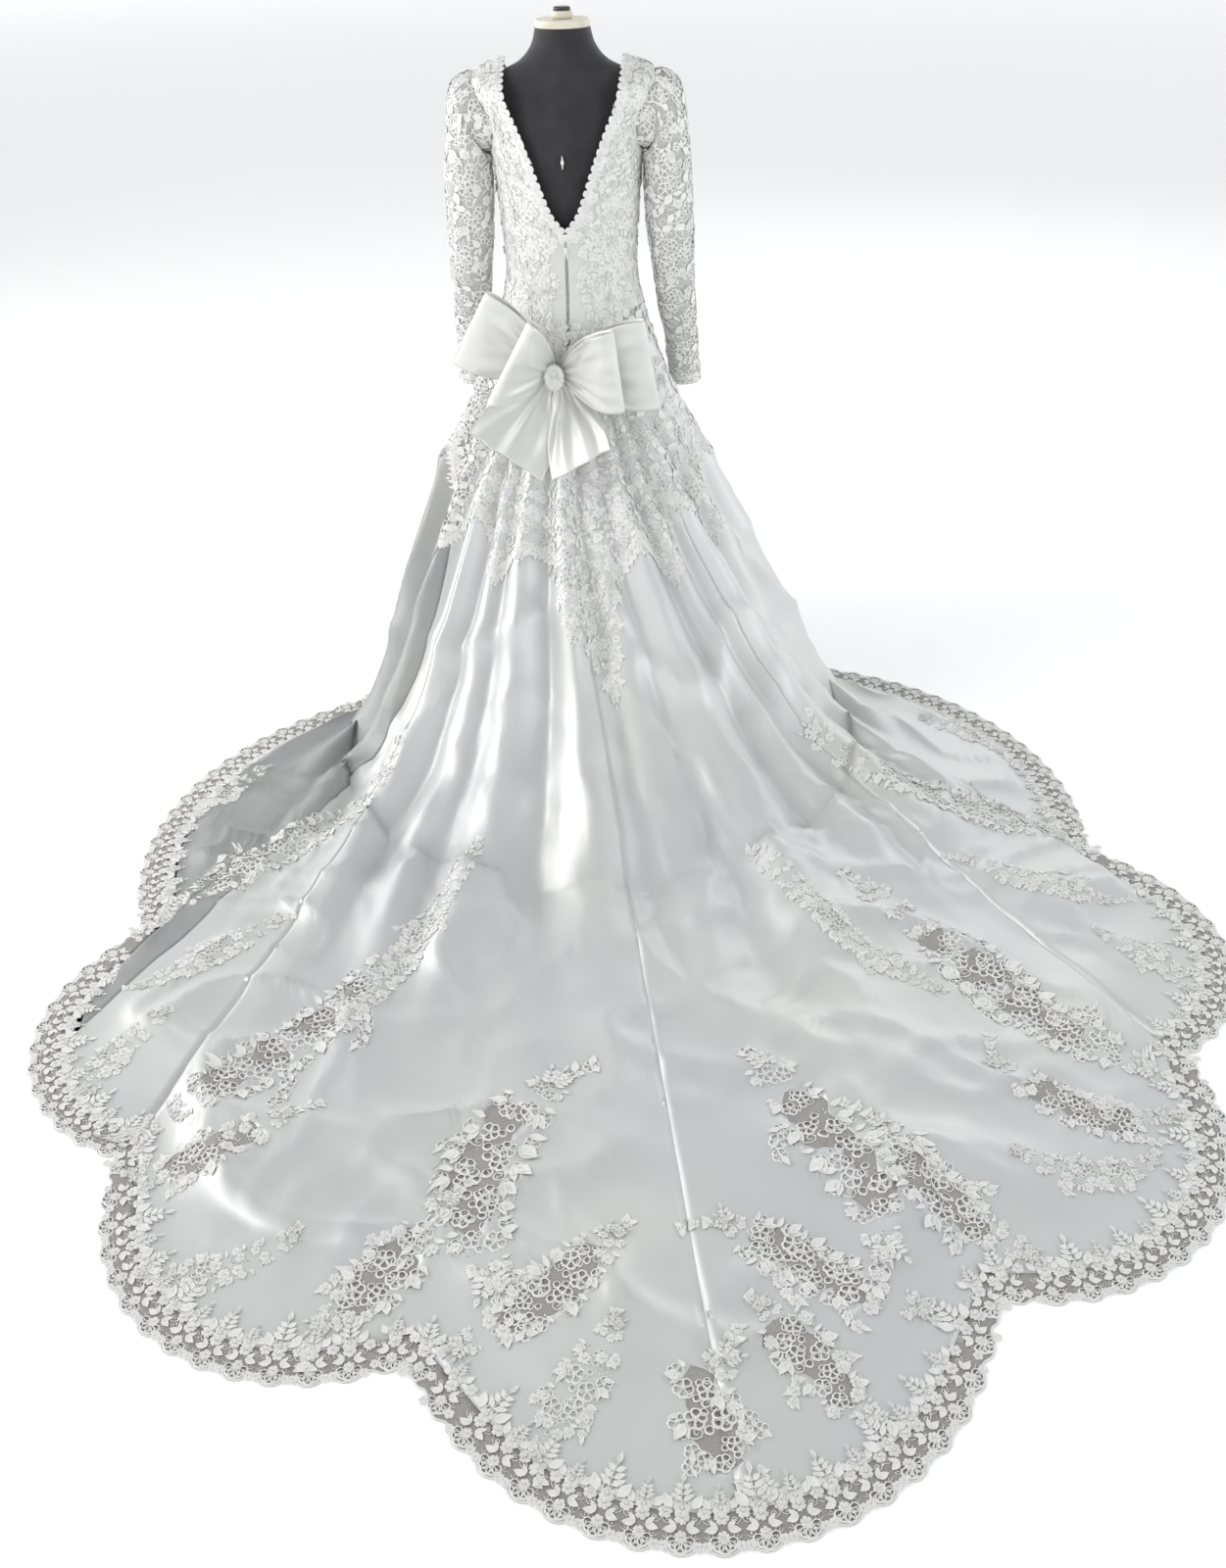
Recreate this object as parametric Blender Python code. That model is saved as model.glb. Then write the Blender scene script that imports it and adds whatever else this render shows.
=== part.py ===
"""Long-sleeved lace and satin wedding gown with a lobed cathedral train, on a dress form.

Metres, +Z up, floor at z = 0. The form's pole stands on the origin. The back of the gown faces -Y and
the train runs out that way, swung a little toward +X. An azimuth is measured at the pole from -Y
toward +X, so 0 is the centre back, 90 the wearer's right side and 180 the centre front.
"""
import math

import bmesh
import bpy
from mathutils import Matrix, Vector

SEAM = 0.0003            # space between neighbouring pieces
TINY = 1e-6
SATIN = 0.0020           # wall of skirt, train and bodice
LACE = 0.0018            # wall of sleeves, hem lace and motifs
CORD_RELIEF = 0.0009     # height of the corded lace over its ground
EASE = 0.0050            # space between the body surface and the inside of the bodice
FORM_SLIM = 0.0070       # the form lies this far inside the body surface where the gown covers it
SLIM_TO, SLIM_FROM = 1.415, 1.450   # heights between which the form comes out to the surface
SHOULDER_PAD = 0.0190    # extra lift of the bodice over the shoulders
PAD_FROM, PAD_TO = 1.320, 1.400     # heights over which that lift grows
NECK_PAD = 0.63          # share of that lift which is left at the neckline
GOWN = EASE + SATIN      # outside of the bodice, measured from the form

TRAIN_SWING = math.radians(10.7)   # the train's axis against the bodice's
SWING_SPREAD = 0.9       # the swing is whole where one plus the azimuth's cosine reaches this
WAIST_SIDE = 0.950       # height of the waist seam at the side
WAIST_DROP = 0.0006      # the skirt's upper edge lies this far below the bodice's
WAIST_POINT = 0.865      # height of its point at centre back and centre front
POINT_AZIMUTH = 75.0     # the waist seam is level beyond this azimuth from the point
V_POINT = 1.113          # height of the V's point at the back
NECK_SHOULDER = 1.428    # form height where neckline and shoulder seam meet
SHOULDER_TIP = 1.406     # form height where shoulder seam and armhole meet
ARMHOLE_MID = 1.338
ARMHOLE_TALL = 0.068     # half height of the armhole
ARMHOLE_WIDE = 30.0      # half width of the armhole in degrees of azimuth
ARMHOLE_CELLS = 16
ZIP_HALF = 0.0032        # half of the open strip that shows the zip's coil

ROWS_UP = 8              # rows of a bodice panel below the armhole
QUARTER = ARMHOLE_CELLS // 4
BACK_CELLS = 3           # cells across a back panel, and along a shoulder seam
BACK_PRINCESS = 29.0     # azimuth of the princess seams at the waist
FRONT_PRINCESS = 151.0

# Sections of the dress form: height, half width, depth in front, depth behind.
FORM = (
    (0.700, 0.156, 0.108, 0.116),
    (0.780, 0.165, 0.114, 0.122),
    (0.860, 0.163, 0.110, 0.117),
    (0.930, 0.152, 0.100, 0.104),
    (0.980, 0.140, 0.093, 0.093),
    (1.030, 0.133, 0.088, 0.087),
    (1.085, 0.135, 0.092, 0.088),
    (1.140, 0.139, 0.106, 0.093),
    (1.200, 0.144, 0.120, 0.099),
    (1.250, 0.149, 0.120, 0.102),
    (1.300, 0.157, 0.108, 0.101),
    (1.345, 0.167, 0.092, 0.094),
    (1.380, 0.173, 0.079, 0.084),
    (1.400, 0.169, 0.068, 0.074),
    (1.415, 0.154, 0.057, 0.064),
    (1.428, 0.121, 0.049, 0.056),
    (1.442, 0.091, 0.046, 0.053),
    (1.460, 0.072, 0.046, 0.052),
    (1.480, 0.061, 0.048, 0.052),
    (1.503, 0.0555, 0.049, 0.052),
)
FORM_SIDES = 18

# The V neckline at the back: height, half width.
BACK_NECK = (
    (1.113, 0.0034),
    (1.135, 0.021),
    (1.160, 0.035),
    (1.205, 0.052),
    (1.245, 0.066),
    (1.300, 0.088),
    (1.360, 0.113),
    (1.400, 0.121),
    (1.428, 0.1225),
)

# Corners of the front neckline from the shoulder to the centre: height, half width.
FRONT_NECK = (
    (1.400, 0.122),
    (1.350, 0.100),
    (1.318, 0.000),
)
NECK_CELLS = 2 * len(FRONT_NECK)    # cells along the front neckline

# Sections of the right sleeve: centre x, y, z, tilt of the section, half width, half depth.
SLEEVE = (
    (0.190, 0.000, 1.346, 84.0, 0.078, 0.056),
    (0.204, 0.000, 1.334, 68.0, 0.075, 0.060),
    (0.203, 0.000, 1.300, 44.0, 0.061, 0.058),
    (0.208, -0.002, 1.258, 20.0, 0.050, 0.053),
    (0.210, -0.004, 1.195, 4.0, 0.050, 0.049),
    (0.214, -0.004, 1.115, 2.0, 0.049, 0.046),
    (0.219, 0.002, 1.035, 2.0, 0.044, 0.042),
    (0.226, 0.018, 0.945, 2.0, 0.040, 0.037),
    (0.235, 0.042, 0.850, 4.0, 0.035, 0.031),
    (0.243, 0.064, 0.752, 4.0, 0.033, 0.029),
)
SLEEVE_SET = 0.0012      # the sleeve's end stands this far inside the armhole

# The skirt's plain fall without folds: azimuth, then its radius at each of SKIRT_HEIGHTS.
SKIRT_HEIGHTS = (0.80, 0.60, 0.40, 0.20, 0.05, 0.0)
SKIRT_FALL = (
    (0.0, 0.143, 0.238, 0.378, 0.550, 0.755, 0.900),
    (30.0, 0.146, 0.240, 0.368, 0.526, 0.705, 0.825),
    (55.0, 0.172, 0.256, 0.360, 0.482, 0.608, 0.690),
    (76.0, 0.206, 0.280, 0.360, 0.440, 0.508, 0.545),
    (90.0, 0.196, 0.256, 0.320, 0.372, 0.402, 0.416),
    (108.0, 0.176, 0.236, 0.296, 0.350, 0.390, 0.405),
    (140.0, 0.166, 0.222, 0.280, 0.334, 0.376, 0.392),
    (180.0, 0.160, 0.218, 0.276, 0.330, 0.372, 0.388),
)

# Where the gown's lengthwise lines meet the hem, on the right half: azimuth at the waist, azimuth on the
# floor where the cloth lands, cusp of the hem (x, y before the swing), lobe's bulge beyond the chord to the
# row above, cells in that lobe. The first row is the middle of the centre lobe.
HEM = (
    (0.0, 0.0, 0.000, -2.217, 0.000, 0),
    (20.0, 19.0, 0.421, -1.900, 0.315, 7),
    (44.0, 42.0, 0.898, -1.465, 0.185, 10),
    (66.0, 62.0, 0.955, -0.868, 0.175, 8),
    (96.0, 91.0, 0.540, -0.010, 0.200, 10),
)
FRONT_HEM = 0.430        # radius of the front hem on the floor
BORDER = 0.058           # width of the hem lace
BORDER_SPLIT = 3         # hem lace cells for each cell of the satin
SCALLOP = 0.011          # depth of a scallop
BORDER_SET = 0.0007      # the hem lace starts this far out from the satin's edge
GORE_SET = 0.00030       # each gore's side edge is drawn in by this

# Rows of the skirt: share of the fall from the waist seam to the floor, then of the way out to the hem.
FALL_ROWS = (0.0, 0.05, 0.15, 0.29, 0.44, 0.59, 0.73, 0.86, 0.95, 0.982, 1.0)
FLOOR_ROWS = (0.14, 0.28, 0.42, 0.68, 1.0)

# Folds of the skirt on the right half and the left: line of the ridge in cells from centre back, half
# width in cells, height, share of the floor run where it has died away.
FOLDS = (
    (-1.6, 2.7, 0.051, 0.30),
    (3.4, 2.1, 0.020, 0.42),
    (-7.6, 3.3, 0.046, 0.42),
    (8.2, 3.3, 0.046, 0.42),
    (-12.2, 2.6, 0.032, 0.42),
    (13.4, 2.6, 0.034, 0.42),
    (-17.1, 3.0, 0.048, 0.44),
    (18.6, 3.5, 0.056, 0.50),
    (-22.8, 2.6, 0.036, 0.42),
    (23.9, 2.5, 0.034, 0.40),
    (-28.0, 2.9, 0.044, 0.40),
    (28.2, 2.8, 0.048, 0.40),
    (-32.4, 2.0, 0.024, 0.36),
    (32.5, 2.0, 0.024, 0.36),
    (37.4, 2.2, 0.014, 1.00),
    (-37.4, 2.2, 0.014, 1.00),
    (41.6, 2.0, 0.016, 1.00),
    (-41.6, 2.0, 0.016, 1.00),
)
FOLD_ROOM = 0.30         # a fold keeps its height down to the floor where the cloth runs out this far
FOLD_FADE = 0.55         # share of the fall from which the lack of that run tells

# Lace motifs on the right half of the train: name, then the line through its middle (x, y before the
# swing), half width.
MOTIFS = (
    ("centre", ((-0.050, -1.930), (-0.020, -2.010), (0.030, -2.050), (0.040, -2.120)), 0.050),
    ("inner", ((0.185, -1.440), (0.245, -1.545), (0.292, -1.650), (0.280, -1.765)), 0.048),
    ("outer", ((0.392, -1.600), (0.415, -1.685), (0.465, -1.745), (0.530, -1.785)), 0.038),
    ("low", ((0.090, -1.735), (0.150, -1.785), (0.220, -1.835), (0.300, -1.870)), 0.040),
    ("third", ((0.600, -1.480), (0.680, -1.545), (0.755, -1.565), (0.800, -1.530)), 0.045),
)
MOTIF_CELLS = 8

IVORY = (0.80, 0.79, 0.76)
LACE_WHITE = (0.86, 0.84, 0.79)
COLOURS = {
    "satin": (IVORY, 0.30, 0.0),
    "lace": (LACE_WHITE, 0.75, 0.0),
    "net": ((0.78, 0.77, 0.74), 0.80, 0.0),
    "jersey": ((0.018, 0.017, 0.020), 0.85, 0.0),
    "cream": ((0.72, 0.68, 0.58), 0.35, 0.0),
    "black": ((0.015, 0.015, 0.015), 0.30, 0.0),
    "enamel": ((0.84, 0.82, 0.76), 0.30, 0.2),
    "coil": ((0.38, 0.38, 0.36), 0.55, 0.0),
    "steel": ((0.30, 0.30, 0.31), 0.35, 1.0),
}


def clear_scene():
    for item in list(bpy.data.objects):
        bpy.data.objects.remove(item)


def make_material(name, kind):
    colour, roughness, metallic = COLOURS[kind]
    material = bpy.data.materials.new(name)
    material.use_nodes = True
    shader = material.node_tree.nodes["Principled BSDF"]
    shader.inputs["Base Color"].default_value = (*colour, 1.0)
    shader.inputs["Roughness"].default_value = roughness
    shader.inputs["Metallic"].default_value = metallic
    material.diffuse_color = (*colour, 1.0)
    return material


def add_object(name, bm, kind):
    bmesh.ops.recalc_face_normals(bm, faces=bm.faces)
    mesh = bpy.data.meshes.new(name)
    bm.to_mesh(mesh)
    bm.free()
    item = bpy.data.objects.new(name, mesh)
    bpy.context.scene.collection.objects.link(item)
    mesh.materials.append(make_material(name, kind))
    return item


def wall(name, outer, inner, kind, ring=False, gaps=()):
    """Closed wall between two grids of points; the cells in gaps are left out as holes."""
    bm = bmesh.new()
    count = len(outer[0])
    wide = count if ring else count - 1
    top = [[bm.verts.new(point) for point in row] for row in outer]
    low = [[bm.verts.new(point) for point in row] for row in inner]
    kept = {(r, c) for r in range(len(outer) - 1) for c in range(wide)} - set(gaps)
    for r, c in sorted(kept):
        d = (c + 1) % count
        bm.faces.new((top[r][c], top[r][d], top[r + 1][d], top[r + 1][c]))
        bm.faces.new((low[r][c], low[r + 1][c], low[r + 1][d], low[r][d]))
        before = (c - 1) % count if ring else c - 1
        after = d if ring else c + 1
        sides = (
            ((r - 1, c), (r, c), (r, d)),
            ((r, after), (r, d), (r + 1, d)),
            ((r + 1, c), (r + 1, d), (r + 1, c)),
            ((r, before), (r + 1, c), (r, c)),
        )
        for neighbour, (r1, c1), (r2, c2) in sides:
            if neighbour not in kept:
                bm.faces.new((top[r2][c2], top[r1][c1], low[r1][c1], low[r2][c2]))
    loose = [vert for vert in bm.verts if not vert.link_faces]
    bmesh.ops.delete(bm, geom=loose, context="VERTS")
    return add_object(name, bm, kind)


def turned(name, profile, sides, kind, stretch=1.0, centre=(0.0, 0.0)):
    """Solid turned from (radius, height) rows, closed by flat ends; stretch widens it along X."""
    bm = bmesh.new()
    rings = []
    for radius, height in profile:
        ring = []
        for i in range(sides):
            turn = 2 * math.pi * i / sides
            x = centre[0] + radius * stretch * math.sin(turn)
            ring.append(bm.verts.new((x, centre[1] - radius * math.cos(turn), height)))
        rings.append(ring)
    for lower, upper in zip(rings, rings[1:]):
        for i in range(sides):
            j = (i + 1) % sides
            bm.faces.new((lower[i], lower[j], upper[j], upper[i]))
    bm.faces.new(rings[0])
    bm.faces.new(rings[-1])
    return add_object(name, bm, kind)


def smooth_value(rows, key, column):
    """Value of a table's column at key, on a curve through its rows that doesn't overshoot."""
    keys = [row[0] for row in rows]
    key = min(max(key, min(keys)), max(keys))
    k = next((i for i in range(len(rows) - 2) if key <= keys[i + 1]), len(rows) - 2)
    span = keys[k + 1] - keys[k]
    t = (key - keys[k]) / span

    def secant(i):
        return (rows[i + 1][column] - rows[i][column]) / (keys[i + 1] - keys[i])

    def slope(i):
        if i == 0 or i == len(rows) - 1:
            return secant(min(i, len(rows) - 2))
        before, after = secant(i - 1), secant(i)
        if before * after <= 0:
            return 0.0
        return 2 * before * after / (before + after)

    a, b = rows[k][column], rows[k + 1][column]
    m, n = slope(k) * span, slope(k + 1) * span
    return ((2 * t - 3) * t * t + 1) * a + ((t - 2) * t + 1) * t * m + (3 - 2 * t) * t * t * b + (t - 1) * t * t * n


def mix(a, b, share):
    return a + (b - a) * share


def ease(share):
    share = min(max(share, 0.0), 1.0)
    return share * share * (3 - 2 * share)


def form_point(azimuth, height):
    """Point of the dress form's surface at an azimuth in degrees."""
    turn = math.radians(azimuth)
    half = smooth_value(FORM, height, 1)
    depth = smooth_value(FORM, height, 3 if math.cos(turn) > 0 else 2)
    return Vector((half * math.sin(turn), -depth * math.cos(turn), height))


def body_point(azimuth, height, out):
    """Point a distance out from the dress form's surface."""
    step, rise = 0.5, 0.002
    along = form_point(azimuth + step, height) - form_point(azimuth - step, height)
    high = min(height + rise, FORM[-1][0])
    up = form_point(azimuth, high) - form_point(azimuth, height - rise)
    return form_point(azimuth, height) + along.cross(up).normalized() * out


def gown_point(azimuth, height, out):
    """Point of the bodice a distance out from the body surface, lifted over the shoulders."""
    lift = SHOULDER_PAD * ease((height - PAD_FROM) / (PAD_TO - PAD_FROM))
    lift *= mix(1.0, NECK_PAD, ease((height - SHOULDER_TIP) / (NECK_SHOULDER - SHOULDER_TIP)))
    return body_point(azimuth, height, out + lift)


def waist_height(azimuth):
    """Height of the pointed waist seam."""
    off = abs((azimuth + 180) % 360 - 180)
    off = min(off, 180 - off)
    return mix(WAIST_POINT, WAIST_SIDE, math.sin(math.pi / 2 * min(1.0, off / POINT_AZIMUTH)))


def azimuth_of(half_width, height):
    """Azimuth at which the back of the bodice is a given distance from the centre line."""
    reach = smooth_value(FORM, height, 1) + GOWN
    return math.degrees(math.asin(min(1.0, half_width / reach)))


CAP_TALL = 0.0150
LIP = 0.0022             # bevel of the cap's upper rim and of the knob's rims
KNOB_TALL, KNOB_RADIUS, KNOB_ROUND = 0.0140, 0.0215, 0.0025
POLE_RADIUS = 0.016
CAP_SIDES, KNOB_SIDES, BASE_SIDES = 24, 16, 28
# Profile of the button on the knob: radius, height over its foot.
BUTTON = ((0.017, 0.0), (0.017, 0.005), (0.015, 0.007))
# Profile of the stand's base: radius, height.
BASE = ((0.190, 0.0), (0.190, 0.008), (0.184, 0.012), (0.060, 0.018), (0.055, 0.024))


def make_form():
    bm = bmesh.new()
    rings = []
    for height, *_ in FORM:
        slim = FORM_SLIM * (1 - ease((height - SLIM_TO) / (SLIM_FROM - SLIM_TO)))
        ring = []
        for i in range(FORM_SIDES):
            point = body_point(360 * i / FORM_SIDES, height, -slim)
            ring.append(bm.verts.new((point.x, point.y, height)))
        rings.append(ring)
    for lower, upper in zip(rings, rings[1:]):
        for i in range(FORM_SIDES):
            j = (i + 1) % FORM_SIDES
            bm.faces.new((lower[i], lower[j], upper[j], upper[i]))
    bm.faces.new(rings[0])
    bm.faces.new(rings[-1])
    add_object("form_torso", bm, "jersey")

    neck_top, neck_half, _, neck_depth = FORM[-1]
    wide = neck_half / neck_depth
    cap = neck_top + SEAM
    cap_top = cap + CAP_TALL
    cap_profile = ((neck_depth, cap), (neck_depth, cap_top - LIP), (neck_depth - LIP, cap_top))
    turned("form_neck_cap", cap_profile, CAP_SIDES, "cream", wide)
    knob = cap_top + SEAM
    knob_top = knob + KNOB_TALL
    knob_rim = KNOB_RADIUS - KNOB_ROUND
    knob_profile = ((knob_rim, knob), (KNOB_RADIUS, knob + LIP), (KNOB_RADIUS, knob_top - LIP), (knob_rim, knob_top))
    turned("form_knob", knob_profile, KNOB_SIDES, "cream")
    button = knob_top + SEAM
    turned("form_knob_top", [(radius, button + rise) for radius, rise in BUTTON], KNOB_SIDES, "black")

    pole_foot = BASE[-1][1] + SEAM
    turned("form_pole", ((POLE_RADIUS, pole_foot), (POLE_RADIUS, FORM[0][0] - SEAM)), KNOB_SIDES, "steel")
    turned("form_base", BASE, BASE_SIDES, "steel")


DIAL_HEIGHT = 1.259      # middle of the plate
DIAL_TALL = 0.017        # half height
DIAL_HALF = 0.0045       # half width
DIAL_THICK = 0.0016
DIAL_OFF = 0.0008        # gap to the form
DIAL_SIDES = 12


def make_back_dial():
    """Small upright plate of the form's back adjuster, just off the centre back seam."""
    points = []
    for i in range(DIAL_SIDES):
        turn = 2 * math.pi * i / DIAL_SIDES
        points.append((DIAL_HALF * math.sin(turn), DIAL_HEIGHT + DIAL_TALL * math.cos(turn)))
    bm = bmesh.new()
    loops = []
    for out in (DIAL_OFF, DIAL_OFF + DIAL_THICK):
        y = -max(-form_point(0, z).y for _, z in points) + FORM_SLIM - out
        loops.append([bm.verts.new((x, y, z)) for x, z in points])
    for i in range(DIAL_SIDES):
        j = (i + 1) % DIAL_SIDES
        bm.faces.new((loops[0][i], loops[0][j], loops[1][j], loops[1][i]))
    bm.faces.new(loops[0])
    bm.faces.new(loops[1])
    add_object("form_back_dial", bm, "enamel")


def armhole(turn):
    """(azimuth, height) of the right armhole; turn 0 is its top, 90 its back, in degrees."""
    angle = math.radians(turn)
    return 90 - ARMHOLE_WIDE * math.sin(angle), ARMHOLE_MID + ARMHOLE_TALL * math.cos(angle)


def line(start, end, cells):
    return [tuple(mix(a, b, i / cells) for a, b in zip(start, end)) for i in range(cells + 1)]


def waist_line(start, end, cells):
    return [(azimuth, waist_height(azimuth)) for azimuth, _ in line((start, 0), (end, 0), cells)]


def princess(waist, arm_turn):
    """Princess seam from the waist to the armhole, curving in to the waist."""
    top = armhole(arm_turn)
    foot = (waist, waist_height(waist))
    rows = []
    for i in range(ROWS_UP + 1):
        share = i / ROWS_UP
        rows.append((mix(foot[0], top[0], ease(share) * 0.5 + share * 0.5), mix(foot[1], top[1], share)))
    return rows


def patch(left, right, bottom, top):
    """Grid between four edges that meet at the corners; left and right run up."""
    rows, cols = len(left), len(bottom)
    grid = []
    for j in range(rows):
        t = j / (rows - 1)
        row = []
        for i in range(cols):
            v = i / (cols - 1)
            point = []
            for k in range(2):
                ruled = mix(bottom[i][k], top[i][k], t) + mix(left[j][k], right[j][k], v)
                corners = mix(mix(bottom[0][k], bottom[-1][k], v), mix(top[0][k], top[-1][k], v), t)
                point.append(ruled - corners)
            row.append(tuple(point))
        grid.append(row)
    return grid


def draw_in(grid, amount):
    """Grid with its border points moved inward, to leave a seam's space around it."""
    rows, cols = len(grid), len(grid[0])
    moved = [[point.copy() for point in row] for row in grid]
    for j in range(rows):
        for i in range(cols):
            shift = Vector()
            if i == 0:
                shift += (grid[j][1] - grid[j][0]).normalized()
            if i == cols - 1:
                shift += (grid[j][-2] - grid[j][-1]).normalized()
            if j == 0:
                shift += (grid[1][i] - grid[0][i]).normalized()
            if j == rows - 1:
                shift += (grid[-2][i] - grid[-1][i]).normalized()
            moved[j][i] += shift * amount
    return moved


PANEL_SET = 0.6 * SEAM   # a bodice panel's edges are drawn in by this much


def corded(j, i):
    """Height of the corded lace at a grid point, an uneven scatter of motifs and ground."""
    return CORD_RELIEF if (3 * j + 5 * i + j * i) % 4 < 2 else 0.0


def bodice_panel(name, grid, kind="lace"):
    rows, cols = len(grid), len(grid[0])
    outer, inner = [], []
    for j, row in enumerate(grid):
        outer.append([])
        inner.append([])
        for i, (azimuth, height) in enumerate(row):
            edge = j in (0, rows - 1) or i in (0, cols - 1)
            relief = 0.0 if edge else corded(j, i)
            outer[-1].append(gown_point(azimuth, height, GOWN + relief))
            inner[-1].append(gown_point(azimuth, height, EASE))
    return wall(name, draw_in(outer, PANEL_SET), draw_in(inner, PANEL_SET), kind)


def mirrored(grid):
    """The same panel on the left half."""
    return [[(-azimuth, height) for azimuth, height in row] for row in grid]


def make_bodice():
    back_seam, front_seam = BACK_PRINCESS, FRONT_PRINCESS
    shoulder = 90.0
    upper_arm = [armhole(90 - 90 * i / QUARTER) for i in range(1, QUARTER + 1)]
    front_arm = [(180 - azimuth, height) for azimuth, height in upper_arm]

    foot = azimuth_of(ZIP_HALF, WAIST_POINT)
    zip_foot = (foot, waist_height(foot))
    zip_head = (azimuth_of(ZIP_HALF, V_POINT), V_POINT)
    zip_rows, neck_rows = 4, ROWS_UP + QUARTER - 4
    centre = line(zip_foot, zip_head, zip_rows)
    for i in range(1, neck_rows + 1):
        height = mix(V_POINT, NECK_SHOULDER, i / neck_rows)
        centre.append((azimuth_of(smooth_value(BACK_NECK, height, 1), height), height))
    centre[-1] = (shoulder, NECK_SHOULDER)
    side = princess(back_seam, 90) + upper_arm
    top = line((shoulder, NECK_SHOULDER), (shoulder, SHOULDER_TIP), BACK_CELLS)
    waist = waist_line(zip_foot[0], back_seam, BACK_CELLS)
    waist[0] = zip_foot
    back = patch(centre, side, waist, top)

    seam_back = princess(back_seam, 90)
    underarm = armhole(180)
    side_seam = line((90, waist_height(90)), underarm, ROWS_UP)
    arm_low = [armhole(90 + 90 * i / QUARTER) for i in range(QUARTER + 1)]
    side_back = patch(seam_back, side_seam, waist_line(back_seam, 90, QUARTER), arm_low)

    seam_front = princess(front_seam, 270)
    arm_front = [armhole(180 + 90 * i / QUARTER) for i in range(QUARTER + 1)]
    side_front = patch(side_seam, seam_front, waist_line(90, front_seam, QUARTER), arm_front)

    near = seam_front + front_arm
    far = [(360 - azimuth, height) for azimuth, height in near]
    neck = [(shoulder, NECK_SHOULDER)] + [(180 - azimuth_of(half, height), height) for height, half in FRONT_NECK]
    neck += [(360 - azimuth, height) for azimuth, height in reversed(neck[:-1])]
    shoulder_run = line((shoulder, SHOULDER_TIP), (shoulder, NECK_SHOULDER), BACK_CELLS)
    other_run = [(360 - azimuth, height) for azimuth, height in reversed(shoulder_run)]
    front_top = shoulder_run[:-1] + neck + other_run[1:]
    front_waist = waist_line(front_seam, 360 - front_seam, len(front_top) - 1)
    front = patch(near, far, front_waist, front_top)

    bodice_panel("bodice_front", front)
    for suffix, flip in (("right", False), ("left", True)):
        for name, grid in (("back", back), ("side_back", side_back), ("side_front", side_front)):
            bodice_panel(f"bodice_{name}_{suffix}", mirrored(grid) if flip else grid)


def make_sleeve(name, side):
    """Sleeve tube from inside the armhole to the wrist; side is 1 on the right, -1 on the left."""
    turns = [360 * i / ARMHOLE_CELLS for i in range(ARMHOLE_CELLS)]
    outer, inner = [], []
    hole = [gown_point(*armhole(turn), GOWN) for turn in turns]
    middle = sum(hole, Vector()) / len(hole)
    faces = [(gown_point(*armhole(turn), GOWN) - gown_point(*armhole(turn), 0.0)).normalized() for turn in turns]
    for out in (EASE, GOWN + SATIN):
        ring = [gown_point(*armhole(turn), out) for turn in turns]
        toward = [(middle - p - n * (middle - p).dot(n)).normalized() for p, n in zip(ring, faces)]
        outer.append([p + d * SLEEVE_SET for p, d in zip(ring, toward)])
        inner.append([p + d * (SLEEVE_SET + LACE) for p, d in zip(ring, toward)])
    for j, (x, y, z, tilt, half, deep) in enumerate(SLEEVE):
        lean = math.radians(tilt)
        across = Vector((math.cos(lean), 0, math.sin(lean)))
        for grid, cut in ((outer, 0.0), (inner, LACE)):
            ring = []
            for i, turn in enumerate(turns):
                angle = math.radians(turn)
                relief = corded(j, i) if cut == 0.0 and 0 < j < len(SLEEVE) - 1 else 0.0
                ring.append(Vector((x, y, z)) + across * (half - cut + relief) * math.cos(angle)
                            + Vector((0, -1, 0)) * (deep - cut + relief) * math.sin(angle))
            grid.append(ring)
    for grid in (outer, inner):
        for ring in grid:
            for point in ring:
                point.x *= side
    return wall(name, outer, inner, "net", ring=True)


ZIP_END = 0.004          # the coil stops this far from the waist's and the V's points
COIL_SUNK = 0.0006       # its face lies this far under the satin's, and its back this far over the satin's
COIL_BACK = 0.0002
ZIP_ROWS = 9


def make_zip():
    """Coil of the zip, between the two back panels."""
    half = ZIP_HALF - 2 * SEAM
    low, high = WAIST_POINT + ZIP_END, V_POINT - ZIP_END
    outer, inner = [], []
    for i in range(ZIP_ROWS):
        height = mix(low, high, i / (ZIP_ROWS - 1))
        depth = form_point(0, height).y
        for grid, reach in ((outer, GOWN - COIL_SUNK), (inner, EASE + COIL_BACK)):
            grid.append([Vector((side * half, depth - reach, height)) for side in (-1, 1)])
    wall("zip_coil", outer, inner, "coil")


def box(name, low, high, kind, taper=0.0, origin=None):
    """Block with its upper outside edge drawn in by taper; origin sets the object's own origin."""
    bm = bmesh.new()
    bmesh.ops.create_cube(bm, size=1.0)
    low, high = Vector(low), Vector(high)
    for vert in bm.verts:
        for k in range(3):
            vert.co[k] = mix(low[k], high[k], vert.co[k] + 0.5)
    if taper:
        edges = [edge for edge in bm.edges if all(v.co.y < low.y + TINY for v in edge.verts)]
        bmesh.ops.bevel(bm, geom=edges, offset=taper, segments=2, profile=0.5, affect="EDGES")
    item = add_object(name, bm, kind)
    if origin is not None:
        item.data.transform(Matrix.Translation(-Vector(origin)))
        item.location = origin
    return item


SLIDER_TOP = 1.090
SLIDER_TALL = 0.011
SLIDER_HALF = 0.0042
SLIDER_DEEP = 0.0030
SLIDER_BEVEL, TAB_BEVEL = 0.0009, 0.0004
TAB_TALL = 0.017
TAB_HALF = 0.0036
TAB_THICK = 0.0014
TAB_ROOM = 0.0006        # room for the tab's upper edge as it turns


def slider_back():
    """Y of the slider's inner face, clear of the lace's raised cords."""
    heights = (SLIDER_TOP, SLIDER_TOP - SLIDER_TALL, SLIDER_TOP - SLIDER_TALL - TAB_TALL)
    return min(form_point(0, height).y for height in heights) - GOWN - CORD_RELIEF - 2 * SEAM


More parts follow.
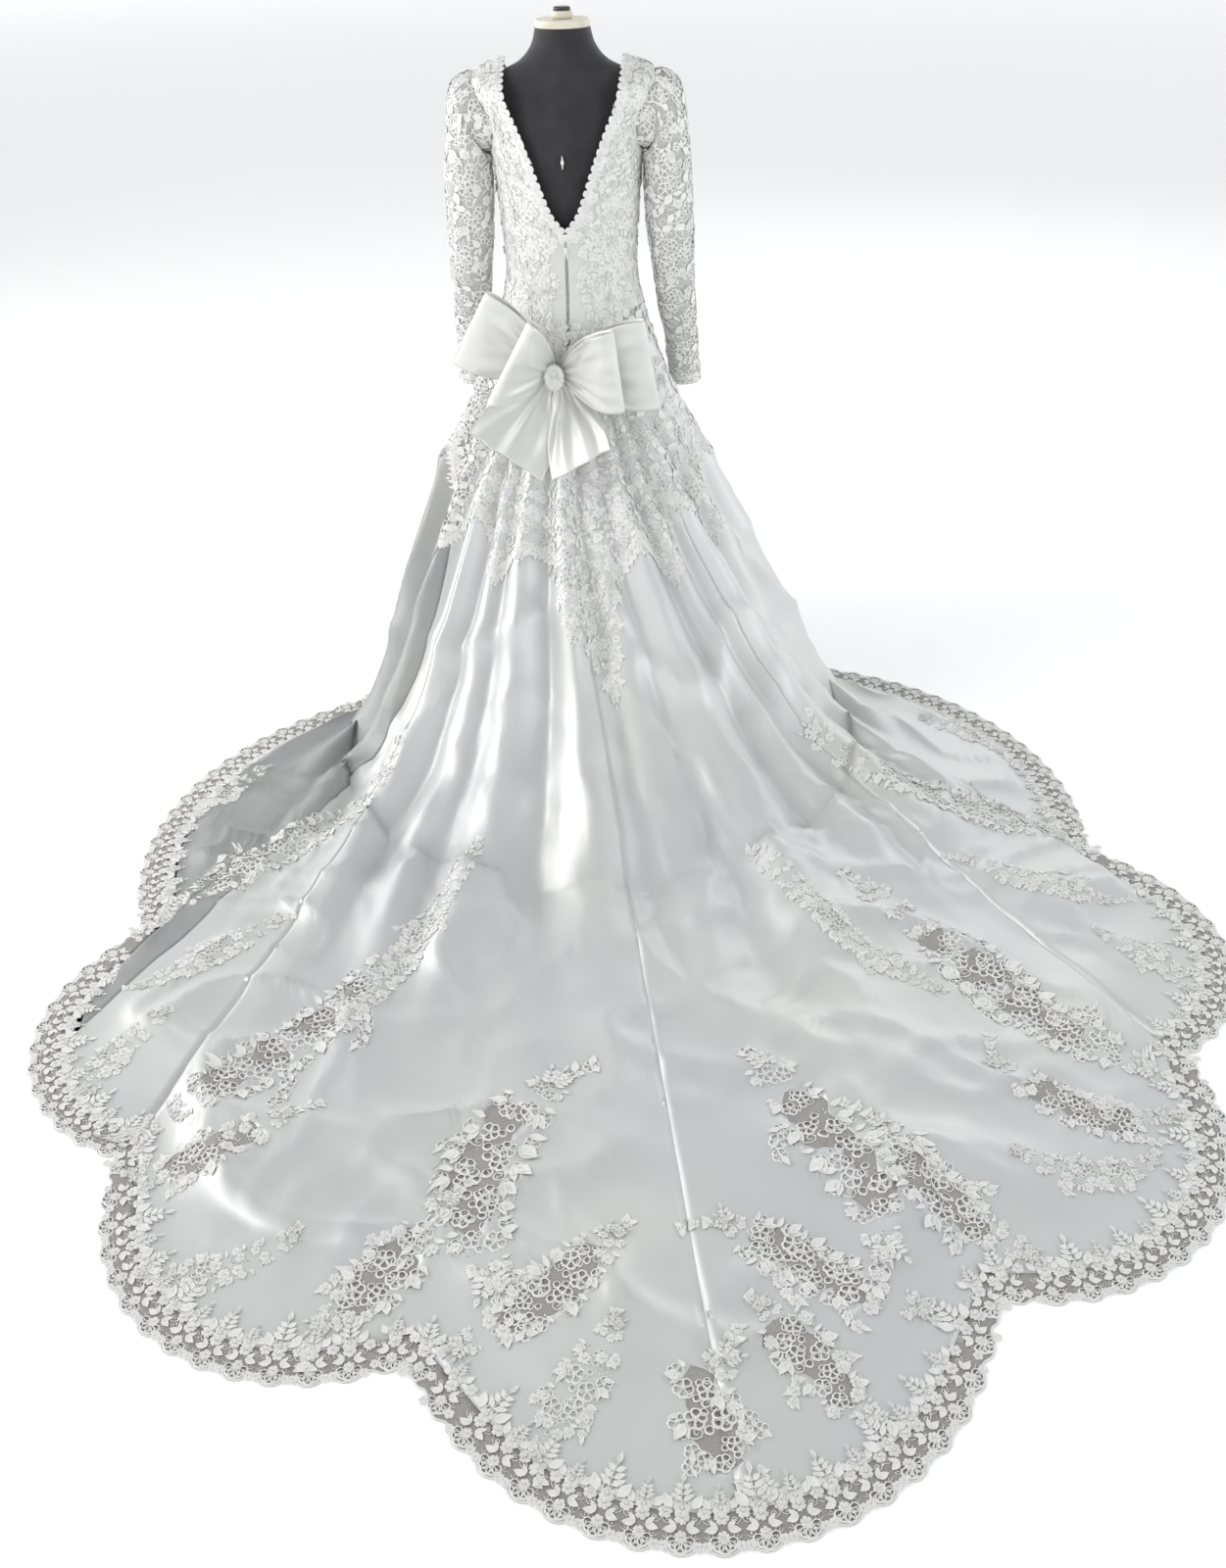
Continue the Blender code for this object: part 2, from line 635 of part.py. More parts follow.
def make_slider():
    back = slider_back()
    low = (-SLIDER_HALF, back - SLIDER_DEEP, SLIDER_TOP - SLIDER_TALL)
    box("zip_slider", low, (SLIDER_HALF, back, SLIDER_TOP), "enamel", taper=SLIDER_BEVEL)
    hinge = (0.0, back - SLIDER_DEEP - TAB_ROOM - TAB_THICK / 2, SLIDER_TOP - SLIDER_TALL / 2)
    low = (-TAB_HALF, hinge[1] - TAB_THICK / 2, hinge[2] - TAB_TALL)
    high = (TAB_HALF, hinge[1] + TAB_THICK / 2, hinge[2] + TAB_THICK / 2)
    box("zip_tab", low, high, "enamel", taper=TAB_BEVEL, origin=hinge)


BOW_KNOT = Vector((-0.022, 0.0, 0.848))
BOW_Y = -0.1720          # depth at which the loops leave the knot
KNOT_WIDE, KNOT_TALL, KNOT_TUBE = 0.0140, 0.0220, 0.0085
KNOT_Y = BOW_Y - 0.0408
LOOP_STEP = 0.0051       # the rear loops leave this far behind that depth, the front ones as far before it

# Bow loops: name, direction in degrees from +X toward +Z, length, half width at the tip, slant of the
# tip, depth of the open loop, step behind the middle, depth of the tip behind the knot.
BOW_LOOPS = (
    ("bow_loop_left_rear", 151.0, 0.205, 0.086, 0.00, 0.026, 0.9, -0.016),
    ("bow_loop_left_front", 151.0, 0.102, 0.098, 0.00, 0.034, -1, -0.086),
    ("bow_loop_right_front", 9.5, 0.143, 0.086, 0.05, 0.034, -1, -0.066),
    ("bow_loop_right_rear", 5.0, 0.207, 0.097, -0.07, 0.026, 1, -0.014),
)
LOOP_ROWS = 11
LOOP_CELLS = 4
LOOP_NECK = 0.015        # half width of a loop or tail at the knot
LOOP_START = 0.00545     # a loop's root lies this far from the knot's middle
LOOP_ROOT = 0.0045       # half depth of a loop where it enters the knot
LOOP_GATHER = 0.0014     # height of the gathers there
LOOP_SPREAD = 2.2        # how soon a loop opens to its full width

# Bow tails: name, direction, length, half width at the end, slant of the end, depth where it leaves the
# knot, depth of the end beyond that.
BOW_TAILS = (
    ("bow_tail_left", 236.0, 0.190, 0.092, 0.00, -0.1490, -0.114),
    ("bow_tail_right", 288.5, 0.180, 0.072, -0.19, -0.1567, -0.118),
)
TAIL_ROWS, TAIL_CELLS = 7, 5
TAIL_START = 0.0312      # where a tail comes out from behind the knot
TAIL_CURVE = 1.3
TAIL_RIPPLE, TAIL_BULGE = 0.003, 0.004
TAIL_WAVES = 1.3         # ripples across a tail
KNOT_PINCH = 0.88        # the knot's tube between two gathers, against its size on one
KNOT_FLAT = 0.8          # the tube's depth against its size across


def bow_axes(direction):
    """Unit vectors along a loop or tail and across it, in the bow's upright plane."""
    angle = math.radians(direction)
    return Vector((math.cos(angle), 0, math.sin(angle))), Vector((-math.sin(angle), 0, math.cos(angle)))


def bow_half(tip, share):
    """Half width of a loop or tail at a share of its length."""
    return mix(LOOP_NECK, tip, 1 - (1 - share) ** LOOP_SPREAD)


def make_loop(name, direction, length, tip, slant, depth, step, tip_back):
    """Band of satin led out from the knot and back, open at both long edges."""
    out, across = bow_axes(direction)
    start = LOOP_START
    outer, inner = [], []
    for j in range(LOOP_ROWS):
        run = 2 * j / (LOOP_ROWS - 1) - 1
        share = math.cos(math.pi / 2 * abs(run))
        face = (run > 0) - (run < 0)
        open_half = LOOP_ROOT * abs(run) + depth / 2 * math.sin(math.pi * abs(run))
        middle = BOW_Y + step * LOOP_STEP + tip_back * math.sin(math.pi / 2 * share)
        for grid, cut in ((outer, 0.0), (inner, SATIN)):
            row = []
            for i in range(LOOP_CELLS + 1):
                v = 2 * i / LOOP_CELLS - 1
                half = bow_half(tip, share)
                gather = LOOP_GATHER * math.cos(math.pi * i) * (1 - share)
                reach = start + (length - start) * share - cut * share + slant * v * half * share
                y = middle + face * (open_half - cut) + gather
                row.append(BOW_KNOT + out * reach + across * half * v + Vector((0, y, 0)))
            grid.append(row)
    return wall(name, outer, inner, "satin")


def make_tail(name, direction, length, tip, slant, root_y, tip_back):
    """Single hanging end of the bow, gathered at the knot."""
    out, across = bow_axes(direction)
    outer, inner = [], []
    for j in range(TAIL_ROWS):
        share = j / (TAIL_ROWS - 1)
        for grid, cut in ((outer, 0.0), (inner, SATIN)):
            row = []
            for i in range(TAIL_CELLS + 1):
                v = 2 * i / TAIL_CELLS - 1
                half = bow_half(tip, share)
                reach = mix(TAIL_START, length, share) + slant * v * half * share
                ripple = TAIL_RIPPLE * math.cos(2 * math.pi * TAIL_WAVES * v) * share
                bulge = -TAIL_BULGE * math.sin(math.pi * share) * (1 - v * v)
                y = root_y + tip_back * share ** TAIL_CURVE + ripple + bulge + cut
                row.append(BOW_KNOT + out * reach + across * half * v + Vector((0, y, 0)))
            grid.append(row)
    return wall(name, outer, inner, "satin")


def make_knot():
    """Gathered oval ring in front of the loops' roots."""
    around, tube = 16, 7
    bm = bmesh.new()
    rings = []
    for i in range(around):
        turn = 2 * math.pi * i / around
        radial = Vector((math.sin(turn), 0, math.cos(turn)))
        middle = BOW_KNOT + Vector((KNOT_WIDE * math.sin(turn), KNOT_Y, KNOT_TALL * math.cos(turn)))
        size = KNOT_TUBE * (1.0 if i % 2 else KNOT_PINCH)
        ring = []
        for k in range(tube):
            roll = 2 * math.pi * k / tube
            ring.append(bm.verts.new(middle + radial * size * math.cos(roll)
                                     + Vector((0, 1, 0)) * size * KNOT_FLAT * math.sin(roll)))
        rings.append(ring)
    for i in range(around):
        after = rings[(i + 1) % around]
        for k in range(tube):
            m = (k + 1) % tube
            bm.faces.new((rings[i][k], rings[i][m], after[m], after[k]))
    add_object("bow_knot", bm, "satin")


def swing(x, y, share=1.0):
    """Plan point of the train turned by its swing about the pole."""
    turn = TRAIN_SWING * share
    return x * math.cos(turn) - y * math.sin(turn), x * math.sin(turn) + y * math.cos(turn)


def swing_share(azimuth):
    """Share of the train's swing at an azimuth: all of it behind and at the sides, none in front."""
    return ease((1 + math.cos(math.radians(azimuth))) / SWING_SPREAD)


def lobe_point(start, end, bulge, share):
    """Point and outward normal on the arc from start to end that bulges to its right by bulge."""
    a, b = Vector(start), Vector(end)
    chord = b - a
    half = chord.length / 2
    radius = (half * half + bulge * bulge) / (2 * bulge)
    along = chord.normalized()
    outward = Vector((-along.y, along.x))
    if outward.dot((a + b) / 2) < 0:
        outward = -outward
    centre = (a + b) / 2 + outward * (bulge - radius)
    reach = math.atan2(half, radius - bulge)
    angle = mix(-reach, reach, share)
    normal = along * math.sin(angle) + outward * math.cos(angle)
    return centre + normal * radius, normal


def lobes():
    """Lobes of the hem from the rear left end round to the rear right end, left to right."""
    right = []
    for before, after in zip(HEM[1:], HEM[2:]):
        right.append((before, after, after[4], after[5]))
    flip = [(mirror_row(after), mirror_row(before), bulge, cells) for before, after, bulge, cells in right]
    middle = (mirror_row(HEM[1]), HEM[1], HEM[1][4], 2 * HEM[1][5])
    return list(reversed(flip)) + [middle] + right


def mirror_row(row):
    return (-row[0], -row[1], -row[2], *row[3:])


LOBE_NAMES = ("left_1", "left_2", "left_3", "centre", "right_3", "right_2", "right_1")
CUSP_SHARE = 0.16        # stretch of a lobe by each cusp over which the lace's width turns to the cusp's


def hem_station(lobe, share):
    """Waist azimuth, landing azimuth, outer hem point and inward width direction at a share of a lobe."""
    before, after, bulge, _ = lobe
    point, normal = lobe_point(before[2:4], after[2:4], bulge, share)
    for cusp, near in ((before, share), (after, 1 - share)):
        weight = ease(1 - near / CUSP_SHARE)
        outward = Vector(cusp[2:4]).normalized()
        normal = (normal * (1 - weight) + outward * weight).normalized()
    return mix(before[0], after[0], share), mix(before[1], after[1], share), point, normal


def front_lines():
    """Waist azimuths of the skirt's front lines from the side to the centre, on the bodice's corners."""
    side = [azimuth for azimuth, _ in waist_line(90, FRONT_PRINCESS, QUARTER)]
    middle = [azimuth for azimuth, _ in waist_line(FRONT_PRINCESS, 180, NECK_CELLS)]
    return side[1:] + middle[2::2]


def gown_lines():
    """Lengthwise lines of the skirt from the front centre round the left, back and right: for each its
    waist azimuth, landing azimuth and the satin's hem point, with the cell count from centre back."""
    last = HEM[-1]
    first = mirror_row(last)
    lines = []
    front = []
    for azimuth in reversed(front_lines()):
        share = (180 - azimuth) / (180 - last[0])
        waist = -azimuth
        landing = mix(-180.0, first[1], share)
        turn = math.radians(landing)
        front.append((waist, landing, Vector((FRONT_HEM * math.sin(turn), -FRONT_HEM * math.cos(turn)))))
    lines.extend(front)
    for lobe in lobes():
        cells = lobe[3]
        for i in range(cells):
            waist, landing, point, normal = hem_station(lobe, i / cells)
            lines.append((waist, landing, point - normal * BORDER))
    waist, landing, point, normal = hem_station(lobes()[-1], 1.0)
    lines.append((waist, landing, point - normal * BORDER))
    for waist, landing, point in reversed(front[1:]):
        lines.append((-waist, -landing, Vector((-point.x, point.y))))
    return lines


def waist_rim(azimuth, out):
    """Point of the waist seam, on the straight edges that the bodice panels have there."""
    knots = WAIST_KNOTS
    azimuth = (azimuth + 180) % 360 - 180
    k = next((i for i in range(len(knots) - 2) if azimuth <= knots[i + 1]), len(knots) - 2)
    share = (azimuth - knots[k]) / (knots[k + 1] - knots[k])
    ends = [gown_point(knot, waist_height(knot), out) for knot in knots[k:k + 2]]
    return ends[0].lerp(ends[1], share)


def skirt_radius(azimuth, height, rim):
    """Radius of the skirt's plain fall at an azimuth, from its rim at the waist down to the floor."""
    off = abs((azimuth + 180) % 360 - 180)
    top = rim.z
    rows = [(0.0, smooth_value(SKIRT_FALL, off, len(SKIRT_HEIGHTS)))]
    for k in range(len(SKIRT_HEIGHTS) - 2, -1, -1):
        rows.append((SKIRT_HEIGHTS[k], smooth_value(SKIRT_FALL, off, k + 1)))
    rows.append((top, math.hypot(rim.x, rim.y)))
    return smooth_value(rows, height, 1)


FOLD_FULL = 0.62         # share of the fall at which a fold is full grown
GATHER_FULL = 0.08       # share of the fall at which the gathers under the waist are
GATHER_SHARE = 0.08      # what those gathers are of the whole fold


def fold_height(cell, fall, floor, total, room):
    """Height of the folds at a line of the skirt; fall and floor are shares of the way down and out, and
    room is the run of cloth on the floor there, in metres."""
    height = 0.0
    spread = mix(1.0, min(1.0, room / FOLD_ROOM), ease((fall - FOLD_FADE) / (1 - FOLD_FADE)))
    for ridge, half, rise, run in FOLDS:
        off = abs((cell - ridge + total / 2) % total - total / 2)
        if off < half:
            bump = 0.5 + 0.5 * math.cos(math.pi * off / half)
            grown = mix(ease(fall / FOLD_FULL), ease(fall / GATHER_FULL), GATHER_SHARE)
            height += rise * bump * grown * spread * (1 - ease(floor / run))
    return height


LYING = 1.05             # cloth no higher than this many times its own thickness lies flat


def skirt_grids():
    """Outer and inner grids of the whole skirt and train, closed round the wearer."""
    lines = gown_lines()
    total = len(lines)
    back = next(i for i, row in enumerate(lines) if abs(row[0]) < TINY)
    rims = [waist_rim(row[0], GOWN) for row in lines]
    base, bump = [], []
    for fall in FALL_ROWS:
        base.append([])
        bump.append([])
        for i, (waist, landing, hem) in enumerate(lines):
            azimuth = mix(waist, landing, ease(fall))
            floor_radius = skirt_radius(landing, 0.0, rims[i])
            rim = rims[i]
            height = mix(rim.z - WAIST_DROP, SATIN, fall)
            radius = skirt_radius(azimuth, height, rim)
            if fall == 0.0:
                point = Vector((rim.x, rim.y, height))
            else:
                turn = math.radians(azimuth)
                share = ease(fall) * swing_share(azimuth)
                x, y = swing(radius * math.sin(turn), -radius * math.cos(turn), share)
                point = Vector((x, y, height))
            base[-1].append(point)
            bump[-1].append(fold_height(i - back, fall, 0.0, total, hem.length - floor_radius))
    landing_row = base[-1]
    for floor in FLOOR_ROWS:
        base.append([])
        bump.append([])
        for i, (waist, landing, hem) in enumerate(lines):
            x, y = swing(hem.x, hem.y, swing_share(landing))
            end = Vector((x, y, SATIN))
            base[-1].append(landing_row[i].lerp(end, floor))
            room = (end - landing_row[i]).length
            bump[-1].append(fold_height(i - back, 1.0, floor, total, room))
    normals = grid_normals(base)
    outer = [[p + n * h for p, n, h in zip(*rows)] for rows in zip(base, normals, bump)]
    walls = grid_normals(outer)
    inner = [[p - n * SATIN for p, n in zip(*rows)] for rows in zip(outer, walls)]
    inner[0] = [waist_rim(row[0], EASE) - Vector((0, 0, WAIST_DROP)) for row in lines]
    for row_outer, row_inner in zip(outer, inner):
        for p, q in zip(row_outer, row_inner):
            q.z = max(q.z, 0.0)
            if p.z <= SATIN * LYING:
                p.z, q.z = SATIN, 0.0
    return outer, inner, back


def grid_normals(grid):
    """Unit normals of a grid that is closed round the wearer, pointing out and up."""
    rows, count = len(grid), len(grid[0])
    normals = []
    for j in range(rows):
        normals.append([])
        for i in range(count):
            along = grid[j][(i + 1) % count] - grid[j][i - 1]
            down = grid[min(j + 1, rows - 1)][i] - grid[max(j - 1, 0)][i]
            normals[-1].append(down.cross(along).normalized())
    return normals


def waist_knots():
    """Azimuths at which the bodice panels' lower edges turn, from -180 to 180."""
    half = [azimuth for azimuth, _ in waist_line(azimuth_of(ZIP_HALF, WAIST_POINT), BACK_PRINCESS, BACK_CELLS)]
    half += [azimuth for azimuth, _ in waist_line(BACK_PRINCESS, 90, QUARTER)][1:]
    half += [azimuth for azimuth, _ in waist_line(90, FRONT_PRINCESS, QUARTER)][1:]
    front_cells = NECK_CELLS + 2 * BACK_CELLS
    front = waist_line(FRONT_PRINCESS, 360 - FRONT_PRINCESS, front_cells)
    half += [azimuth for azimuth, _ in front[1:front_cells // 2 + 1]]
    return [-azimuth for azimuth in reversed(half)] + [0.0] + half


WAIST_KNOTS = waist_knots()

# Gores of the skirt: name, first and last line counted from the centre back seam toward the right.
GORES = (
    ("train_left", -17, 0),
    ("train_right", 0, 17),
    ("skirt_side_left", -35, -17),
    ("skirt_side_right", 17, 35),
    ("skirt_front", 35, 49),
)


def shut_in(grid, amount):
    """Grid with its first and last columns moved inward, for the seams beside it."""
    moved = [[point.copy() for point in row] for row in grid]
    for row, source in zip(moved, grid):
        row[0] += (source[1] - source[0]).normalized() * amount
        row[-1] += (source[-2] - source[-1]).normalized() * amount
    return moved


def make_skirt(outer, inner, back):
    total = len(outer[0])
    gores = {}
    for name, first, last in GORES:
        columns = [(back + k) % total for k in range(first, last + 1)]
        parts = [[[row[c] for c in columns] for row in grid] for grid in (outer, inner)]
        gores[name] = wall(name, *(shut_in(grid, GORE_SET) for grid in parts), "satin")
    return gores


BORDER_ROWS = (0.0, 0.42, 0.76, 1.0)         # places of the border's cords across its width
MOTIF_ROWS = (-1.0, -0.36, 0.36, 1.0)        # the same across a motif, in half widths
MOTIF_END, MOTIF_FROM, MOTIF_RUN = 0.30, 0.08, 0.84    # width at a motif's ends; its stretch of a half wave
MOTIF_WAIST = 0.72       # width at every second cord against the others
WINDOW_HALF = 0.50       # half width of the window under a motif, against the motif's
WINDOW_LOW, WINDOW_HIGH = -0.01, 0.02        # heights that its cutter spans


def make_hem_lace(outer, back):
    """One border of lace for each lobe, scalloped outside, open between its cords."""
    total = len(outer[0])
    first = back - sum(lobe[3] for lobe in lobes()) // 2
    rows = BORDER_ROWS
    for name, lobe in zip(LOBE_NAMES, lobes()):
        cells = lobe[3]
        columns = cells * BORDER_SPLIT
        top, low = [[] for _ in rows], [[] for _ in rows]
        for k in range(columns + 1):
            i, rest = divmod(k, BORDER_SPLIT)
            edge = outer[-1][(first + i) % total].lerp(outer[-1][(first + i + 1) % total], rest / BORDER_SPLIT)
            _, _, point, normal = hem_station(lobe, k / columns)
            point = point - normal * (0.0 if k % 2 else SCALLOP)
            rim = Vector((*swing(point.x, point.y), 0.0))
            start = Vector((edge.x, edge.y, 0.0))
            start += (rim - start).normalized() * BORDER_SET
            for j, share in enumerate(rows):
                spot = start.lerp(rim, share)
                relief = CORD_RELIEF if (j + k) % 2 else 0.0
                low[j].append(spot)
                top[j].append(spot + Vector((0, 0, LACE + relief)))
        first += cells
        gaps = [(1, k) for k in range(1, columns - 1, 2)]
        wall(f"hem_lace_{name}", shut_in(top, SEAM / 2), shut_in(low, SEAM / 2), "lace", gaps=gaps)


def spine_point(spine, share):
    """Point and tangent of a smooth line through four points."""
    rows = [(i / (len(spine) - 1), *point) for i, point in enumerate(spine)]
    step = 0.01
    here = Vector([smooth_value(rows, share, k) for k in (1, 2)])
    near = [Vector([smooth_value(rows, min(max(share + d, 0), 1), k) for k in (1, 2)]) for d in (-step, step)]
    return here, (near[1] - near[0]).normalized()


def make_motif(name, spine, half, side):
    """Strip of cutwork lace with open gaps along its middle, and the cutter of the window under it."""
    cells = MOTIF_CELLS
    rows = MOTIF_ROWS
    lift = SATIN + SEAM
    top, low = [[] for _ in rows], [[] for _ in rows]
    rims = ([], [])
    for k in range(cells + 1):
        share = k / cells
        spot, along = spine_point(spine, share)
        across = Vector((-along.y, along.x))
        body = mix(MOTIF_END, 1.0, math.sin(math.pi * (MOTIF_FROM + MOTIF_RUN * share)))
        wave = 1.0 if k % 2 else MOTIF_WAIST
        for j, row in enumerate(rows):
            reach = row * half * body * (wave if abs(row) == 1.0 else 1.0)
            x, y = swing((spot + across * reach).x * side, (spot + across * reach).y)
            relief = CORD_RELIEF if (j + k) % 2 else 0.0
            low[j].append(Vector((x, y, lift)))
            top[j].append(Vector((x, y, lift + LACE + relief)))
        if k % 2 and 0 < k < cells:
            for rim, sign in zip(rims, (-1, 1)):
                reach = sign * half * body * WINDOW_HALF
                plan = spot + across * reach
                rim.append(swing(plan.x * side, plan.y))
    gaps = [(1, k) for k in range(1, cells - 1, 2)]
    wall(name, top, low, "lace", gaps=gaps)
    return rims[0] + rims[1][::-1]


def cut_window(name, outline, gores):
    """Cut the satin away under a motif."""
    bm = bmesh.new()
    ends = [[bm.verts.new((x, y, z)) for x, y in outline] for z in (WINDOW_LOW, WINDOW_HIGH)]
    count = len(outline)
    for i in range(count):
        j = (i + 1) % count
        bm.faces.new((ends[0][i], ends[0][j], ends[1][j], ends[1][i]))
    bm.faces.new(ends[0])
    bm.faces.new(ends[1])
    cutter = add_object(name, bm, "satin")
    cutter.hide_render = True
    cutter.display_type = "WIRE"
    for gore in gores:
        cut = gore.modifiers.new(name, "BOOLEAN")
        cut.operation = "DIFFERENCE"
        cut.object = cutter


def make_motifs(gores):
    for name, spine, half in MOTIFS:
        sides = ((1, "right"), (-1, "left")) if name != "centre" else ((1, ""),)
        for side, label in sides:
            full = "_".join(word for word in ("lace_motif", name, label) if word)
            outline = make_motif(full, spine, half, side)
            if label:
                cut_window(f"window_{full}", outline, [gores[f"train_{label}"]])
            else:
                cut_window(f"window_{full}", outline, [gores["train_left"], gores["train_right"]])


def main():
    clear_scene()
    make_form()
    make_back_dial()
    make_bodice()
    make_sleeve("sleeve_right", 1)
    make_sleeve("sleeve_left", -1)
    make_zip()
    make_slider()
    for loop in BOW_LOOPS:
        make_loop(*loop)
    for tail in BOW_TAILS:
        make_tail(*tail)
    make_knot()
    outer, inner, back = skirt_grids()
    gores = make_skirt(outer, inner, back)
    make_hem_lace(outer, back)
    make_motifs(gores)


main()
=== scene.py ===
"""Looks of the lace and satin wedding gown on its dress form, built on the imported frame."""

import itertools
import math
import random

import bmesh
import bpy
import numpy as np
from mathutils import Matrix, Vector, kdtree, noise


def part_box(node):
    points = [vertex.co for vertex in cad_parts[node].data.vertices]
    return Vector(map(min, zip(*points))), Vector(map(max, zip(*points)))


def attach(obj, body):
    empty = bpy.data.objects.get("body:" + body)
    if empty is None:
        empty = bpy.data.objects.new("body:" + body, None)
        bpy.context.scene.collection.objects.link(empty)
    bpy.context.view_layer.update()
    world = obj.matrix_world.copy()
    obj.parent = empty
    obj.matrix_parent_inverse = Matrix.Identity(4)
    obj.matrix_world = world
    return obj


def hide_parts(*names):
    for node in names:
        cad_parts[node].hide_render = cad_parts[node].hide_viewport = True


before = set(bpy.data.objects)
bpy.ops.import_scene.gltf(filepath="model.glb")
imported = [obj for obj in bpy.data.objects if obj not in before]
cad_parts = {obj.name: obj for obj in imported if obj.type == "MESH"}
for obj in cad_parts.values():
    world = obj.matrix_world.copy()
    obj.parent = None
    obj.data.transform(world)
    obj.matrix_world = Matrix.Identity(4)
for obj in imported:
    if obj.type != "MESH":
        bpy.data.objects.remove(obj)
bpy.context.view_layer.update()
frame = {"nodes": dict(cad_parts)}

SEAM = 0.0003            # space between neighbouring pieces
SATIN = 0.0020           # wall of skirt, train and bodice
LACE = 0.0018            # wall of sleeves, hem lace and motifs
EASE = 0.0050            # space between the body surface and the inside of the bodice
FORM_SLIM = 0.0070       # the form lies this far inside the body surface where the gown covers it
SLIM_TO, SLIM_FROM = 1.415, 1.450   # heights between which the form comes out to the surface
SHOULDER_PAD = 0.0190    # extra lift of the bodice over the shoulders
PAD_FROM, PAD_TO = 1.320, 1.400     # heights over which that lift grows
NECK_PAD = 0.63          # share of that lift which is left at the neckline
GOWN = EASE + SATIN      # outside of the bodice, measured from the form
TRAIN_SWING = math.radians(10.7)   # the train's axis against the bodice's
SWING_SPREAD = 0.9       # the swing is whole where one plus the azimuth's cosine reaches this
WAIST_SIDE = 0.950       # height of the waist seam at the side
WAIST_DROP = 0.0006      # the skirt's upper edge lies this far below the bodice's
WAIST_POINT = 0.865      # height of its point at centre back and centre front
POINT_AZIMUTH = 75.0     # the waist seam is level beyond this azimuth from the point
V_POINT = 1.113          # height of the V's point at the back
NECK_SHOULDER = 1.428    # form height where neckline and shoulder seam meet
SHOULDER_TIP = 1.406     # form height where shoulder seam and armhole meet
ARMHOLE_MID = 1.338
ARMHOLE_TALL = 0.068     # half height of the armhole
ARMHOLE_WIDE = 30.0      # half width of the armhole in degrees of azimuth
ARMHOLE_CELLS = 16
ZIP_HALF = 0.0032        # half of the open strip that shows the zip's coil
ROWS_UP = 8              # rows of a bodice panel below the armhole
QUARTER = ARMHOLE_CELLS // 4
BACK_CELLS = 3           # cells across a back panel, and along a shoulder seam
BACK_PRINCESS = 29.0     # azimuth of the princess seams at the waist
FRONT_PRINCESS = 151.0
FORM = (
    (0.700, 0.156, 0.108, 0.116),
    (0.780, 0.165, 0.114, 0.122),
    (0.860, 0.163, 0.110, 0.117),
    (0.930, 0.152, 0.100, 0.104),
    (0.980, 0.140, 0.093, 0.093),
    (1.030, 0.133, 0.088, 0.087),
    (1.085, 0.135, 0.092, 0.088),
    (1.140, 0.139, 0.106, 0.093),
    (1.200, 0.144, 0.120, 0.099),
    (1.250, 0.149, 0.120, 0.102),
    (1.300, 0.157, 0.108, 0.101),
    (1.345, 0.167, 0.092, 0.094),
    (1.380, 0.173, 0.079, 0.084),
    (1.400, 0.169, 0.068, 0.074),
    (1.415, 0.154, 0.057, 0.064),
    (1.428, 0.121, 0.049, 0.056),
    (1.442, 0.091, 0.046, 0.053),
    (1.460, 0.072, 0.046, 0.052),
    (1.480, 0.061, 0.048, 0.052),
    (1.503, 0.0555, 0.049, 0.052),
)
BACK_NECK = (
    (1.113, 0.0034),
    (1.135, 0.021),
    (1.160, 0.035),
    (1.205, 0.052),
    (1.245, 0.066),
    (1.300, 0.088),
    (1.360, 0.113),
    (1.400, 0.121),
    (1.428, 0.1225),
)
FRONT_NECK = (
    (1.400, 0.122),
    (1.350, 0.100),
    (1.318, 0.000),
)
NECK_CELLS = 2 * len(FRONT_NECK)    # cells along the front neckline
SLEEVE = (
    (0.190, 0.000, 1.346, 84.0, 0.078, 0.056),
    (0.204, 0.000, 1.334, 68.0, 0.075, 0.060),
    (0.203, 0.000, 1.300, 44.0, 0.061, 0.058),
    (0.208, -0.002, 1.258, 20.0, 0.050, 0.053),
    (0.210, -0.004, 1.195, 4.0, 0.050, 0.049),
    (0.214, -0.004, 1.115, 2.0, 0.049, 0.046),
    (0.219, 0.002, 1.035, 2.0, 0.044, 0.042),
    (0.226, 0.018, 0.945, 2.0, 0.040, 0.037),
    (0.235, 0.042, 0.850, 4.0, 0.035, 0.031),
    (0.243, 0.064, 0.752, 4.0, 0.033, 0.029),
)
SLEEVE_SET = 0.0012      # the sleeve's end stands this far inside the armhole
SKIRT_HEIGHTS = (0.80, 0.60, 0.40, 0.20, 0.05, 0.0)
SKIRT_FALL = (
    (0.0, 0.143, 0.238, 0.378, 0.550, 0.755, 0.900),
    (30.0, 0.146, 0.240, 0.368, 0.526, 0.705, 0.825),
    (55.0, 0.172, 0.256, 0.360, 0.482, 0.608, 0.690),
    (76.0, 0.206, 0.280, 0.360, 0.440, 0.508, 0.545),
    (90.0, 0.196, 0.256, 0.320, 0.372, 0.402, 0.416),
    (108.0, 0.176, 0.236, 0.296, 0.350, 0.390, 0.405),
    (140.0, 0.166, 0.222, 0.280, 0.334, 0.376, 0.392),
    (180.0, 0.160, 0.218, 0.276, 0.330, 0.372, 0.388),
)
HEM = (
    (0.0, 0.0, 0.000, -2.217, 0.000, 0),
    (20.0, 19.0, 0.421, -1.900, 0.315, 7),
    (44.0, 42.0, 0.898, -1.465, 0.185, 10),
    (66.0, 62.0, 0.955, -0.868, 0.175, 8),
    (96.0, 91.0, 0.540, -0.010, 0.200, 10),
)
FRONT_HEM = 0.430        # radius of the front hem on the floor
BORDER = 0.058           # width of the hem lace
SCALLOP = 0.011          # depth of a scallop
